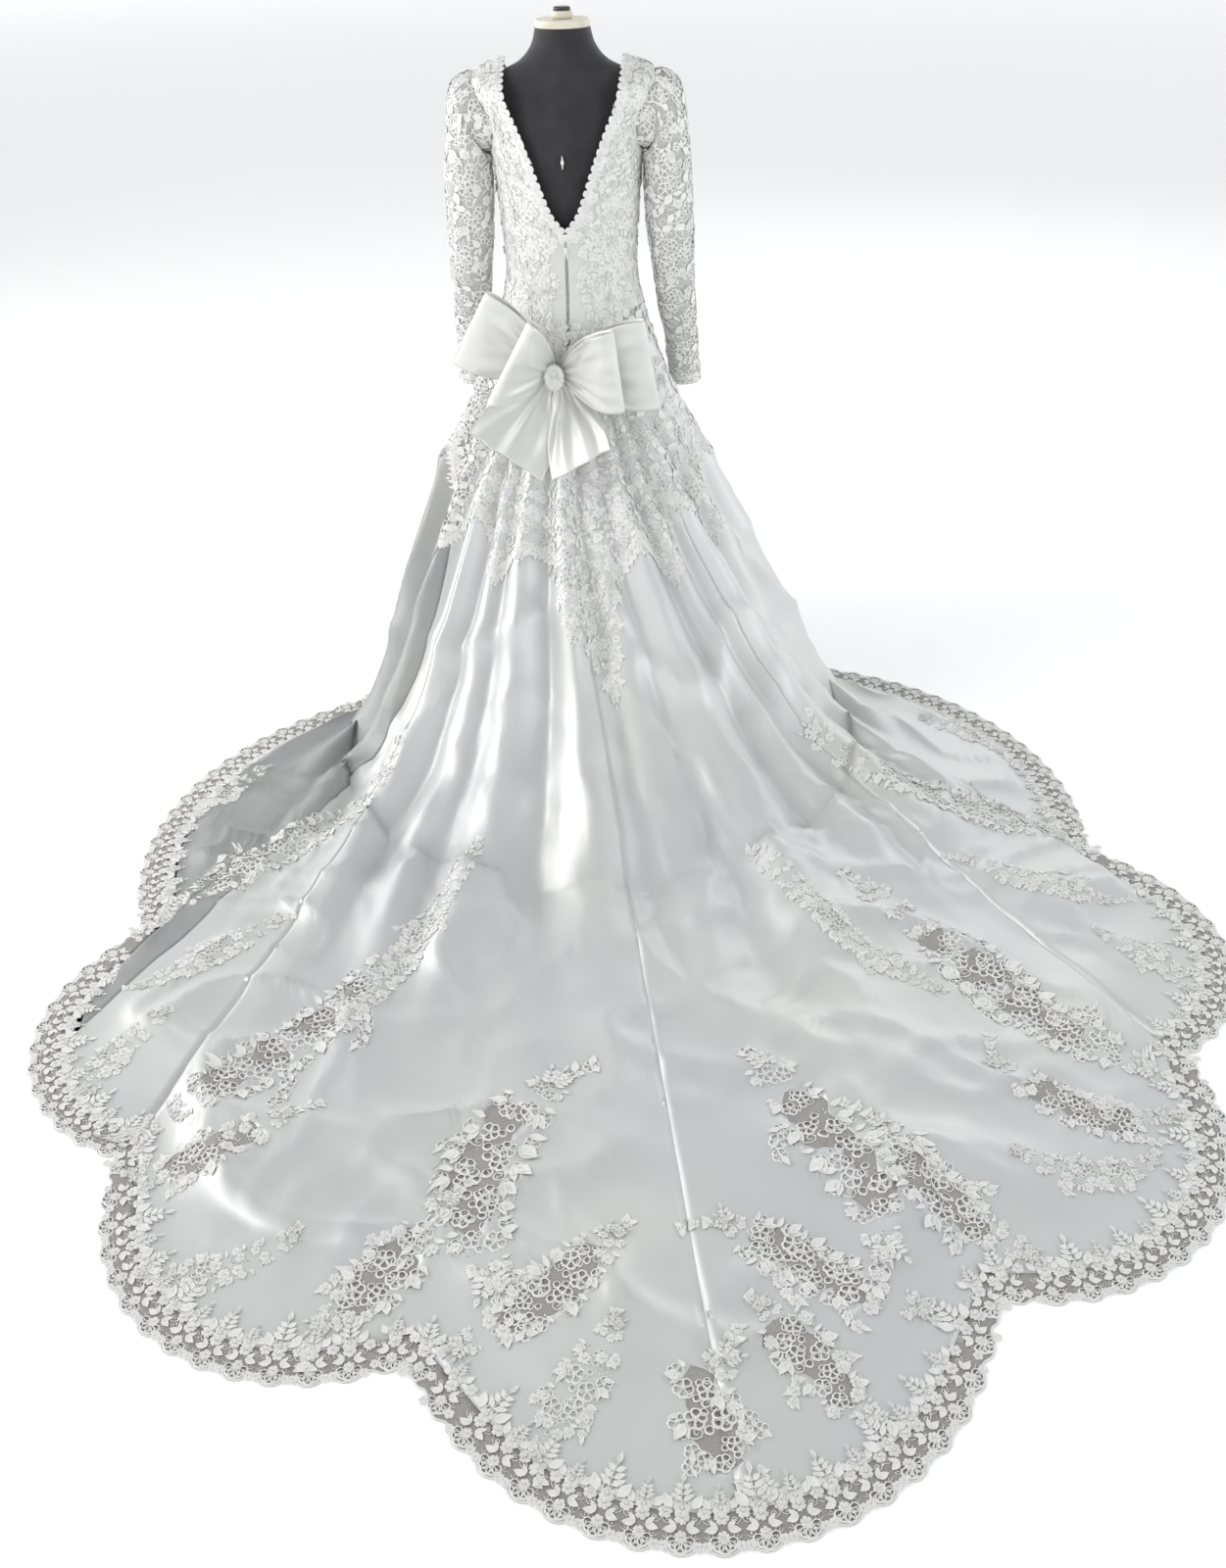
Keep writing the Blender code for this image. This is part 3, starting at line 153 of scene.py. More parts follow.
FOLDS = (
    (-1.6, 2.7, 0.051, 0.30),
    (3.4, 2.1, 0.020, 0.42),
    (-7.6, 3.3, 0.046, 0.42),
    (8.2, 3.3, 0.046, 0.42),
    (-12.2, 2.6, 0.032, 0.42),
    (13.4, 2.6, 0.034, 0.42),
    (-17.1, 3.0, 0.048, 0.44),
    (18.6, 3.5, 0.056, 0.50),
    (-22.8, 2.6, 0.036, 0.42),
    (23.9, 2.5, 0.034, 0.40),
    (-28.0, 2.9, 0.044, 0.40),
    (28.2, 2.8, 0.048, 0.40),
    (-32.4, 2.0, 0.024, 0.36),
    (32.5, 2.0, 0.024, 0.36),
    (37.4, 2.2, 0.014, 1.00),
    (-37.4, 2.2, 0.014, 1.00),
    (41.6, 2.0, 0.016, 1.00),
    (-41.6, 2.0, 0.016, 1.00),
)
FOLD_ROOM = 0.30         # a fold keeps its height down to the floor where the cloth runs out this far
FOLD_FADE = 0.55         # share of the fall from which the lack of that run tells
SLIDER_TOP = 1.090
SLIDER_TALL = 0.011
BOW_KNOT = Vector((-0.022, 0.0, 0.848))
BOW_Y = -0.1720          # depth at which the loops leave the knot
KNOT_WIDE, KNOT_TALL, KNOT_TUBE = 0.0140, 0.0220, 0.0085
KNOT_Y = BOW_Y - 0.0408
LOOP_STEP = 0.0051       # the rear loops leave this far behind that depth, the front ones as far before it
BOW_LOOPS = (
    ("bow_loop_left_rear", 151.0, 0.205, 0.086, 0.00, 0.026, 0.9, -0.016),
    ("bow_loop_left_front", 151.0, 0.102, 0.098, 0.00, 0.034, -1, -0.086),
    ("bow_loop_right_front", 9.5, 0.143, 0.086, 0.05, 0.034, -1, -0.066),
    ("bow_loop_right_rear", 5.0, 0.207, 0.097, -0.07, 0.026, 1, -0.014),
)
LOOP_NECK = 0.015        # half width of a loop or tail at the knot
LOOP_START = 0.00545     # a loop's root lies this far from the knot's middle
LOOP_ROOT = 0.0045       # half depth of a loop where it enters the knot
LOOP_SPREAD = 2.2        # how soon a loop opens to its full width
BOW_TAILS = (
    ("bow_tail_left", 236.0, 0.190, 0.092, 0.00, -0.1490, -0.114),
    ("bow_tail_right", 288.5, 0.180, 0.072, -0.19, -0.1567, -0.118),
)
TAIL_START = 0.0312      # where a tail comes out from behind the knot
TAIL_CURVE = 1.3
LOBE_NAMES = ("left_1", "left_2", "left_3", "centre", "right_3", "right_2", "right_1")
CUSP_SHARE = 0.16        # stretch of a lobe by each cusp over which the lace's width turns to the cusp's


def smooth_value(rows, key, column):
    """Value of a table's column at key, on a curve through its rows that doesn't overshoot."""
    keys = [row[0] for row in rows]
    key = min(max(key, min(keys)), max(keys))
    k = next((i for i in range(len(rows) - 2) if key <= keys[i + 1]), len(rows) - 2)
    span = keys[k + 1] - keys[k]
    t = (key - keys[k]) / span

    def secant(i):
        return (rows[i + 1][column] - rows[i][column]) / (keys[i + 1] - keys[i])

    def slope(i):
        if i == 0 or i == len(rows) - 1:
            return secant(min(i, len(rows) - 2))
        before, after = secant(i - 1), secant(i)
        if before * after <= 0:
            return 0.0
        return 2 * before * after / (before + after)

    a, b = rows[k][column], rows[k + 1][column]
    m, n = slope(k) * span, slope(k + 1) * span
    return ((2 * t - 3) * t * t + 1) * a + ((t - 2) * t + 1) * t * m + (3 - 2 * t) * t * t * b + (t - 1) * t * t * n


def mix(a, b, share):
    return a + (b - a) * share


def ease(share):
    share = min(max(share, 0.0), 1.0)
    return share * share * (3 - 2 * share)


def form_point(azimuth, height):
    """Point of the dress form's surface at an azimuth in degrees."""
    turn = math.radians(azimuth)
    half = smooth_value(FORM, height, 1)
    depth = smooth_value(FORM, height, 3 if math.cos(turn) > 0 else 2)
    return Vector((half * math.sin(turn), -depth * math.cos(turn), height))


def body_point(azimuth, height, out):
    """Point a distance out from the dress form's surface."""
    step, rise = 0.5, 0.002
    along = form_point(azimuth + step, height) - form_point(azimuth - step, height)
    high = min(height + rise, FORM[-1][0])
    up = form_point(azimuth, high) - form_point(azimuth, height - rise)
    return form_point(azimuth, height) + along.cross(up).normalized() * out


def gown_point(azimuth, height, out):
    """Point of the bodice a distance out from the body surface, lifted over the shoulders."""
    lift = SHOULDER_PAD * ease((height - PAD_FROM) / (PAD_TO - PAD_FROM))
    lift *= mix(1.0, NECK_PAD, ease((height - SHOULDER_TIP) / (NECK_SHOULDER - SHOULDER_TIP)))
    return body_point(azimuth, height, out + lift)


def waist_height(azimuth):
    """Height of the pointed waist seam."""
    off = abs((azimuth + 180) % 360 - 180)
    off = min(off, 180 - off)
    return mix(WAIST_POINT, WAIST_SIDE, math.sin(math.pi / 2 * min(1.0, off / POINT_AZIMUTH)))


def azimuth_of(half_width, height):
    """Azimuth at which the back of the bodice is a given distance from the centre line."""
    reach = smooth_value(FORM, height, 1) + GOWN
    return math.degrees(math.asin(min(1.0, half_width / reach)))


def armhole(turn):
    """(azimuth, height) of the right armhole; turn 0 is its top, 90 its back, in degrees."""
    angle = math.radians(turn)
    return 90 - ARMHOLE_WIDE * math.sin(angle), ARMHOLE_MID + ARMHOLE_TALL * math.cos(angle)


def line(start, end, cells):
    return [tuple(mix(a, b, i / cells) for a, b in zip(start, end)) for i in range(cells + 1)]


def waist_line(start, end, cells):
    return [(azimuth, waist_height(azimuth)) for azimuth, _ in line((start, 0), (end, 0), cells)]


def princess(waist, arm_turn):
    """Princess seam from the waist to the armhole, curving in to the waist."""
    top = armhole(arm_turn)
    foot = (waist, waist_height(waist))
    rows = []
    for i in range(ROWS_UP + 1):
        share = i / ROWS_UP
        rows.append((mix(foot[0], top[0], ease(share) * 0.5 + share * 0.5), mix(foot[1], top[1], share)))
    return rows


def patch(left, right, bottom, top):
    """Grid between four edges that meet at the corners; left and right run up."""
    rows, cols = len(left), len(bottom)
    grid = []
    for j in range(rows):
        t = j / (rows - 1)
        row = []
        for i in range(cols):
            v = i / (cols - 1)
            point = []
            for k in range(2):
                ruled = mix(bottom[i][k], top[i][k], t) + mix(left[j][k], right[j][k], v)
                corners = mix(mix(bottom[0][k], bottom[-1][k], v), mix(top[0][k], top[-1][k], v), t)
                point.append(ruled - corners)
            row.append(tuple(point))
        grid.append(row)
    return grid


def bow_axes(direction):
    """Unit vectors along a loop or tail and across it, in the bow's upright plane."""
    angle = math.radians(direction)
    return Vector((math.cos(angle), 0, math.sin(angle))), Vector((-math.sin(angle), 0, math.cos(angle)))


def bow_half(tip, share):
    """Half width of a loop or tail at a share of its length."""
    return mix(LOOP_NECK, tip, 1 - (1 - share) ** LOOP_SPREAD)


def swing(x, y, share=1.0):
    """Plan point of the train turned by its swing about the pole."""
    turn = TRAIN_SWING * share
    return x * math.cos(turn) - y * math.sin(turn), x * math.sin(turn) + y * math.cos(turn)


def swing_share(azimuth):
    """Share of the train's swing at an azimuth: all of it behind and at the sides, none in front."""
    return ease((1 + math.cos(math.radians(azimuth))) / SWING_SPREAD)


def lobe_point(start, end, bulge, share):
    """Point and outward normal on the arc from start to end that bulges to its right by bulge."""
    a, b = Vector(start), Vector(end)
    chord = b - a
    half = chord.length / 2
    radius = (half * half + bulge * bulge) / (2 * bulge)
    along = chord.normalized()
    outward = Vector((-along.y, along.x))
    if outward.dot((a + b) / 2) < 0:
        outward = -outward
    centre = (a + b) / 2 + outward * (bulge - radius)
    reach = math.atan2(half, radius - bulge)
    angle = mix(-reach, reach, share)
    normal = along * math.sin(angle) + outward * math.cos(angle)
    return centre + normal * radius, normal


def lobes():
    """Lobes of the hem from the rear left end round to the rear right end, left to right."""
    right = []
    for before, after in zip(HEM[1:], HEM[2:]):
        right.append((before, after, after[4], after[5]))
    flip = [(mirror_row(after), mirror_row(before), bulge, cells) for before, after, bulge, cells in right]
    middle = (mirror_row(HEM[1]), HEM[1], HEM[1][4], 2 * HEM[1][5])
    return list(reversed(flip)) + [middle] + right


def mirror_row(row):
    return (-row[0], -row[1], -row[2], *row[3:])


def hem_station(lobe, share):
    """Waist azimuth, landing azimuth, outer hem point and inward width direction at a share of a lobe."""
    before, after, bulge, _ = lobe
    point, normal = lobe_point(before[2:4], after[2:4], bulge, share)
    for cusp, near in ((before, share), (after, 1 - share)):
        weight = ease(1 - near / CUSP_SHARE)
        outward = Vector(cusp[2:4]).normalized()
        normal = (normal * (1 - weight) + outward * weight).normalized()
    return mix(before[0], after[0], share), mix(before[1], after[1], share), point, normal


def front_lines():
    """Waist azimuths of the skirt's front lines from the side to the centre, on the bodice's corners."""
    side = [azimuth for azimuth, _ in waist_line(90, FRONT_PRINCESS, QUARTER)]
    middle = [azimuth for azimuth, _ in waist_line(FRONT_PRINCESS, 180, NECK_CELLS)]
    return side[1:] + middle[2::2]


def waist_rim(azimuth, out):
    """Point of the waist seam, on the straight edges that the bodice panels have there."""
    knots = WAIST_KNOTS
    azimuth = (azimuth + 180) % 360 - 180
    k = next((i for i in range(len(knots) - 2) if azimuth <= knots[i + 1]), len(knots) - 2)
    share = (azimuth - knots[k]) / (knots[k + 1] - knots[k])
    ends = [gown_point(knot, waist_height(knot), out) for knot in knots[k:k + 2]]
    return ends[0].lerp(ends[1], share)


def skirt_radius(azimuth, height, rim):
    """Radius of the skirt's plain fall at an azimuth, from its rim at the waist down to the floor."""
    off = abs((azimuth + 180) % 360 - 180)
    top = rim.z
    rows = [(0.0, smooth_value(SKIRT_FALL, off, len(SKIRT_HEIGHTS)))]
    for k in range(len(SKIRT_HEIGHTS) - 2, -1, -1):
        rows.append((SKIRT_HEIGHTS[k], smooth_value(SKIRT_FALL, off, k + 1)))
    rows.append((top, math.hypot(rim.x, rim.y)))
    return smooth_value(rows, height, 1)


def waist_knots():
    """Azimuths at which the bodice panels' lower edges turn, from -180 to 180."""
    half = [azimuth for azimuth, _ in waist_line(azimuth_of(ZIP_HALF, WAIST_POINT), BACK_PRINCESS, BACK_CELLS)]
    half += [azimuth for azimuth, _ in waist_line(BACK_PRINCESS, 90, QUARTER)][1:]
    half += [azimuth for azimuth, _ in waist_line(90, FRONT_PRINCESS, QUARTER)][1:]
    front_cells = NECK_CELLS + 2 * BACK_CELLS
    front = waist_line(FRONT_PRINCESS, 360 - FRONT_PRINCESS, front_cells)
    half += [azimuth for azimuth, _ in front[1:front_cells // 2 + 1]]
    return [-azimuth for azimuth in reversed(half)] + [0.0] + half


WAIST_KNOTS = waist_knots()


BODY = "gown_and_form"
VISUAL_SPLIT = 4         # columns of the visible skirt for each cell of the solids
FALL_COUNT, FLOOR_COUNT = 44, 58
CLOTH = 0.0012           # thickness of the visible cloth
SEED = 7

# Soft ridges of the train beyond the folds: line in cells, half width, height, shares of the floor run
# between which it lies.
DRAPES = (
    (-26.5, 3.0, 0.012, 0.00, 0.80),
    (-21.6, 1.6, 0.010, 0.05, 0.70),
    (-16.0, 1.9, 0.013, 0.00, 0.85),
    (-11.4, 1.5, 0.012, 0.00, 0.80),
    (-8.2, 1.3, 0.014, 0.00, 0.62),
    (-5.0, 1.7, 0.006, 0.15, 0.90),
    (-1.8, 2.0, 0.005, 0.20, 0.75),
    (3.0, 1.5, 0.007, 0.10, 0.85),
    (7.4, 1.6, 0.014, 0.00, 0.75),
    (10.9, 1.3, 0.011, 0.00, 0.62),
    (14.6, 1.6, 0.010, 0.05, 0.85),
    (18.9, 1.8, 0.015, 0.00, 0.85),
    (23.4, 1.5, 0.010, 0.00, 0.75),
    (28.4, 2.2, 0.012, 0.00, 0.80),
)

# Corded lace appliques on the train: the line through the middle (x, y before the swing), half width at
# its widest, and whether the satin is cut away behind it.
APPLIQUES = (
    (((0.006, -1.958), (-0.030, -1.992), (-0.009, -2.061), (0.022, -2.119)), 0.052, True),
    (((-0.195, -1.410), (-0.285, -1.520), (-0.322, -1.628), (-0.303, -1.760)), 0.072, True),
    (((0.184, -1.423), (0.235, -1.545), (0.281, -1.667), (0.282, -1.780)), 0.072, True),
    (((-0.375, -1.640), (-0.433, -1.716), (-0.488, -1.778), (-0.530, -1.808)), 0.052, True),
    (((0.345, -1.573), (0.370, -1.666), (0.415, -1.749), (0.478, -1.812)), 0.052, True),
    (((-0.125, -1.728), (-0.173, -1.776), (-0.249, -1.834), (-0.334, -1.872)), 0.050, True),
    (((0.069, -1.726), (0.134, -1.779), (0.194, -1.839), (0.293, -1.891)), 0.050, True),
    (((-0.140, -1.890), (-0.175, -1.944), (-0.214, -1.997), (-0.241, -2.040)), 0.040, False),
    (((0.092, -1.880), (0.121, -1.934), (0.154, -1.999), (0.190, -2.046)), 0.044, True),
    (((-0.610, -1.670), (-0.680, -1.700), (-0.740, -1.712), (-0.800, -1.700)), 0.034, False),
    (((-0.640, -1.430), (-0.710, -1.468), (-0.780, -1.495), (-0.850, -1.500)), 0.044, True),
    (((0.550, -1.650), (0.610, -1.690), (0.670, -1.700), (0.730, -1.680)), 0.036, False),
    (((0.580, -1.460), (0.645, -1.545), (0.710, -1.590), (0.780, -1.590)), 0.046, True),
    (((-0.440, -1.030), (-0.560, -1.170), (-0.700, -1.300), (-0.850, -1.395)), 0.064, True),
    (((0.480, -0.980), (0.600, -1.180), (0.680, -1.350), (0.800, -1.470)), 0.064, True),
    (((-0.500, -0.520), (-0.640, -0.620), (-0.780, -0.720), (-0.910, -0.815)), 0.058, True),
    (((0.480, -0.500), (0.620, -0.620), (0.760, -0.720), (0.900, -0.800)), 0.058, True),
    (((-0.300, -0.780), (-0.375, -0.930), (-0.450, -1.060), (-0.530, -1.203)), 0.036, False),
    (((0.270, -0.860), (0.350, -1.030), (0.430, -1.150), (0.510, -1.240)), 0.036, False),
    (((-0.700, -0.900), (-0.780, -0.960), (-0.850, -1.010), (-0.910, -1.040)), 0.036, False),
    (((0.700, -0.900), (0.780, -0.960), (0.850, -1.010), (0.910, -1.040)), 0.036, False),
    (((-0.780, -0.330), (-0.850, -0.390), (-0.900, -0.450), (-0.930, -0.520)), 0.034, False),
    (((0.780, -0.330), (0.850, -0.390), (0.900, -0.450), (0.930, -0.520)), 0.034, False),
    (((-0.880, -1.150), (-0.930, -1.200), (-0.960, -1.240), (-0.970, -1.290)), 0.034, False),
    (((0.880, -1.150), (0.930, -1.200), (0.960, -1.240), (0.970, -1.290)), 0.034, False),
)

# Lower ends of the lace on the upper skirt: line in cells from centre back and height, round the gown.
LACE_TIPS = (
    (-49.0, 0.700), (-44.0, 0.560), (-39.0, 0.690), (-33.5, 0.520), (-28.0, 0.660), (-22.5, 0.480),
    (-17.5, 0.570), (-11.5, 0.450), (-7.0, 0.510), (-3.6, 0.480), (-1.2, 0.380), (1.4, 0.255), (4.4, 0.450),
    (8.2, 0.520), (12.0, 0.440), (17.5, 0.580), (22.5, 0.480), (28.0, 0.660), (33.5, 0.520), (39.0, 0.690),
    (44.0, 0.560), (49.0, 0.700),
)


def unit(vectors):
    length = np.linalg.norm(vectors, axis=-1, keepdims=True)
    return vectors / np.maximum(length, 1e-12)


def grid_normals(points, closed):
    """Unit normals of a grid of points; rows run down, columns to the right seen from outside."""
    if closed:
        across = np.roll(points, -1, axis=1) - np.roll(points, 1, axis=1)
    else:
        across = np.gradient(points, axis=1)
    down = np.gradient(points, axis=0)
    return unit(np.cross(down, across))


class Grid:
    """Surface through a grid of points that can be read between them and a little past its edges."""

    def __init__(self, points, closed=False, flip=1.0):
        self.points = points
        self.normals = grid_normals(points, closed) * flip
        self.closed = closed
        self.flip = flip

    def at(self, row, col):
        rows, cols = self.points.shape[:2]
        i = np.clip(np.floor(row).astype(int), 0, rows - 2)
        u = (row - i)[..., None]
        if self.closed:
            j = np.floor(col).astype(int)
            v = (col - j)[..., None]
            j = j % cols
            k = (j + 1) % cols
        else:
            j = np.clip(np.floor(col).astype(int), 0, cols - 2)
            v = (col - j)[..., None]
            k = j + 1
        spots = []
        for source in (self.points, self.normals):
            upper = source[i, j] * (1 - v) + source[i, k] * v
            lower = source[i + 1, j] * (1 - v) + source[i + 1, k] * v
            spots.append(upper * (1 - u) + lower * u)
        return spots[0], unit(spots[1])

    def frame(self, row, col):
        """Unit directions across and down at a spot, and the matrix from metres to grid steps."""
        rows = np.array([row, row, row - 0.5, row + 0.5])
        cols = np.array([col - 0.5, col + 0.5, col, col])
        points, _ = self.at(rows, cols)
        _, normal = self.at(np.array([row]), np.array([col]))
        right, down = points[1] - points[0], points[3] - points[2]
        first = right / max(np.linalg.norm(right), 1e-9)
        second = np.cross(normal[0], first)
        basis = np.array([[right @ first, down @ first], [right @ second, down @ second]])
        stretch = np.linalg.svd(basis, compute_uv=False)
        if stretch[1] < 2e-4 or stretch[0] > 30 * stretch[1]:
            return None
        return np.linalg.inv(basis)


class Piece:
    """Points and faces of one mesh, gathered part by part with a material for each part."""

    def __init__(self):
        self.points, self.faces, self.slots, self.rounded, self.count = [], [], [], [], 0

    def add(self, points, faces, slot=0, rounded=True):
        self.points.append(points)
        self.count += len(points)
        self.add_faces(faces + self.count - len(points), slot, rounded)

    def add_faces(self, faces, slot=0, rounded=True):
        """Faces on points that the piece already has; rims of cloth are shaded flat."""
        self.faces.append(faces)
        self.slots.append(np.full(len(faces), slot))
        self.rounded.append(np.full(len(faces), rounded))

    def build(self, name, materials):
        points = np.concatenate(self.points)
        loops = np.concatenate([part.ravel() for part in self.faces])
        sizes = np.concatenate([np.full(len(part), part.shape[1]) for part in self.faces])
        starts = np.concatenate(([0], np.cumsum(sizes)[:-1]))
        mesh = bpy.data.meshes.new(name)
        mesh.vertices.add(len(points))
        mesh.vertices.foreach_set("co", points.astype(np.float32).ravel())
        mesh.loops.add(len(loops))
        mesh.loops.foreach_set("vertex_index", loops.astype(np.int32))
        mesh.polygons.add(len(sizes))
        mesh.polygons.foreach_set("loop_start", starts.astype(np.int32))
        mesh.polygons.foreach_set("material_index", np.concatenate(self.slots).astype(np.int32))
        mesh.polygons.foreach_set("use_smooth", np.concatenate(self.rounded))
        mesh.update(calc_edges=True)
        mesh.validate()
        item = bpy.data.objects.new(name, mesh)
        bpy.context.scene.collection.objects.link(item)
        for material in materials:
            mesh.materials.append(material)
        return item


def grid_faces(rows, cols, closed=False, kept=None):
    """Quads of a grid, seen from the side its normals point to."""
    wide = cols if closed else cols - 1
    i, j = np.meshgrid(np.arange(rows - 1), np.arange(wide), indexing="ij")
    i, j = i.ravel(), j.ravel()
    if kept is not None:
        keep = kept[i, j]
        i, j = i[keep], j[keep]
    k = (j + 1) % cols
    return np.stack([i * cols + j, (i + 1) * cols + j, (i + 1) * cols + k, i * cols + k], axis=1)


def shell(name, outer, inner, material, closed=False):
    """Thin closed cloth between two grids of points."""
    rows, cols = outer.shape[:2]
    piece = Piece()
    both = np.concatenate([outer.reshape(-1, 3), inner.reshape(-1, 3)])
    top = grid_faces(rows, cols, closed)
    low = top[:, ::-1] + rows * cols
    rims = []
    ids = np.arange(rows * cols).reshape(rows, cols)
    around = np.concatenate([ids[0], ids[0][:1]]) if closed else ids[0]
    under = np.concatenate([ids[-1], ids[-1][:1]]) if closed else ids[-1]
    lines = [around[::-1], under]
    if not closed:
        lines += [ids[:, 0], ids[::-1, -1]]
    for line_ids in lines:
        a, b = line_ids[:-1], line_ids[1:]
        rims.append(np.stack([a, b, b + rows * cols, a + rows * cols], axis=1)[:, ::-1])
    piece.add(both, np.concatenate([top, low]))
    piece.add_faces(np.concatenate(rims), rounded=False)
    return piece.build(name, [material])


def cut_shell(name, outer, inner, field, material):
    """Thin closed cloth between two grids, cut away where the field at its points is below zero."""
    rows, cols = field.shape
    points = [both for both in zip(outer.reshape(-1, 3), inner.reshape(-1, 3))]
    flat = field.ravel()
    made = {}

    def between(a, b):
        key = (min(a, b), max(a, b))
        if key not in made:
            share = flat[key[0]] / (flat[key[0]] - flat[key[1]])
            made[key] = len(points)
            pair = [p + (q - p) * share for p, q in zip(points[key[0]], points[key[1]])]
            points.append(tuple(pair))
        return made[key]

    polygons = []
    edges = {}
    for i in range(rows - 1):
        for j in range(cols - 1):
            ring = [i * cols + j, (i + 1) * cols + j, (i + 1) * cols + j + 1, i * cols + j + 1]
            signs = [flat[k] > 0 for k in ring]
            if all(signs):
                polygon = ring
            elif not any(signs):
                continue
            else:
                polygon = []
                for a, b, here, there in zip(ring, ring[1:] + ring[:1], signs, signs[1:] + signs[:1]):
                    if here:
                        polygon.append(a)
                    if here != there:
                        polygon.append(between(a, b))
            polygons.append(polygon)
            for a, b in zip(polygon, polygon[1:] + polygon[:1]):
                edges[(a, b)] = True
    total = len(points)
    piece = Piece()
    both = np.array([p for p, _ in points] + [q for _, q in points])
    piece.add(both, np.zeros((0, 3), int))
    for size in (3, 4, 5):
        chosen = np.array([p for p in polygons if len(p) == size], dtype=int).reshape(-1, size)
        piece.add_faces(chosen)
        piece.add_faces(chosen[:, ::-1] + total)
    rim = np.array([(b, a, a + total, b + total) for a, b in edges if (b, a) not in edges])
    piece.add_faces(rim, rounded=False)
    item = piece.build(name, [material])
    bm = bmesh.new()
    bm.from_mesh(item.data)
    bmesh.ops.delete(bm, geom=[v for v in bm.verts if not v.link_faces], context="VERTS")
    bm.to_mesh(item.data)
    bm.free()
    return item


# Lace is drawn from a few small templates, each lying in a plane: points (x, y, height) and triangles.

def ringed(outline, rim, crest, depth, inset=0.72, hollow=False):
    """Petal with a raised corded edge round a sunk or open middle."""
    count = len(outline)
    after = np.roll(outline, -1, axis=0)
    if np.sum(outline[:, 0] * after[:, 1] - outline[:, 1] * after[:, 0]) < 0:
        outline = outline[::-1]
    middle = outline.mean(axis=0)
    crest_line = middle + (outline - middle) * inset
    points = np.zeros((2 * count + 1, 3))
    points[:count, :2], points[:count, 2] = outline, rim
    points[count:2 * count, :2], points[count:2 * count, 2] = crest_line, crest
    points[-1, :2], points[-1, 2] = middle, depth
    faces = []
    for a in range(count):
        b = (a + 1) % count
        faces += [(a, b, count + b), (a, count + b, count + a)]
        if not hollow:
            faces.append((count + a, count + b, 2 * count))
    if hollow:
        points = points[:-1]
    return points, np.array(faces)


def joined(parts):
    points, faces, total = [], [], 0
    for part_points, part_faces in parts:
        points.append(part_points)
        faces.append(part_faces + total)
        total += len(part_points)
    return np.concatenate(points), np.concatenate(faces)


def turned_part(part, angle, shift=(0.0, 0.0), size=1.0):
    points, faces = part
    c, s = math.cos(angle), math.sin(angle)
    moved = points.copy()
    moved[:, 0] = (points[:, 0] * c - points[:, 1] * s) * size + shift[0]
    moved[:, 1] = (points[:, 0] * s + points[:, 1] * c) * size + shift[1]
    return moved, faces


def cord_part(path, wide, high):
    """Raised cord along a flat path, with a ridge along its middle."""
    path = np.asarray(path, float)
    along = unit(np.gradient(path, axis=0))
    side = np.stack([-along[:, 1], along[:, 0]], axis=1)
    taper = np.ones(len(path))
    taper[0] = taper[-1] = 0.45
    wide = (wide / 2 * taper)[:, None]
    count = len(path)
    points = np.zeros((3 * count, 3))
    points[:count, :2] = path - side * wide
    points[count:2 * count, :2], points[count:2 * count, 2] = path, high
    points[2 * count:, :2] = path + side * wide
    faces = []
    for a in range(count - 1):
        for k in (0, 1):
            p, q = k * count + a, (k + 1) * count + a
            faces += [(p, p + 1, q + 1), (p, q + 1, q)]
    return points, np.array(faces)


def petal_outline(length, wide, count=5, tip=0.62):
    """Outline of a petal that starts at the origin and points along +X."""
    turns = np.linspace(0, 2 * np.pi, count, endpoint=False)
    x = length * (0.53 - 0.47 * np.cos(turns))
    y = wide / 2 * np.sin(turns) * (tip + (1 - tip) * 2 * x / length * 0.5 + 0.15)
    return np.stack([x, y], axis=1)


def make_flower(petals, radius, high=0.0011, hollow=False):
    outline = petal_outline(radius, radius * 5.2 / petals, 7 if hollow else 5)
    petal = ringed(outline, 0.0001, high, high * 0.35, 0.60 if hollow else 0.72, hollow)
    parts = [turned_part(petal, 2 * math.pi * k / petals) for k in range(petals)]
    return joined(parts)


def make_leaf(length, wide, high=0.0010, last=5):
    """Leaf with raised edges and a sunk vein, a given number of steps long."""
    share = np.linspace(0, 1, last + 1)
    half = wide / 2 * np.sin(np.pi * share ** 0.8)
    upper = np.stack([length * share, half], axis=1)
    lower = np.stack([length * share[-2:0:-1], -half[-2:0:-1]], axis=1)
    outline = np.concatenate([upper, lower])
    count = len(outline)
    points = np.zeros((count + last - 1, 3))
    points[:count, :2] = outline
    points[:count, 2] = high * 0.9
    points[count:, 0] = length * share[1:-1]
    points[count:, 2] = high * 0.35
    faces = []
    ids_up = list(range(last + 1))
    ids_low = [0] + list(range(count - 1, last, -1)) + [last]
    spine = [0] + list(range(count, count + last - 1)) + [last]
    for a in range(last):
        faces += [(spine[a], ids_up[a + 1], ids_up[a]), (spine[a], spine[a + 1], ids_up[a + 1])]
        faces += [(spine[a], ids_low[a], ids_low[a + 1]), (spine[a], ids_low[a + 1], spine[a + 1])]
    faces = [face for face in faces if len(set(face)) == 3]
    return points, np.array(faces)


def make_scroll(size, turns=1.15, count=9):
    angle = np.linspace(0, 2 * np.pi * turns, count)
    reach = size * (1 - angle / angle[-1] * 0.74)
    path = np.stack([reach * np.cos(angle), reach * np.sin(angle)], axis=1)
    stem = np.array([[size * 1.0, -size * 1.1], [size * 1.04, -size * 0.5]])
    return cord_part(np.concatenate([stem, path]), size * 0.22, 0.0012)


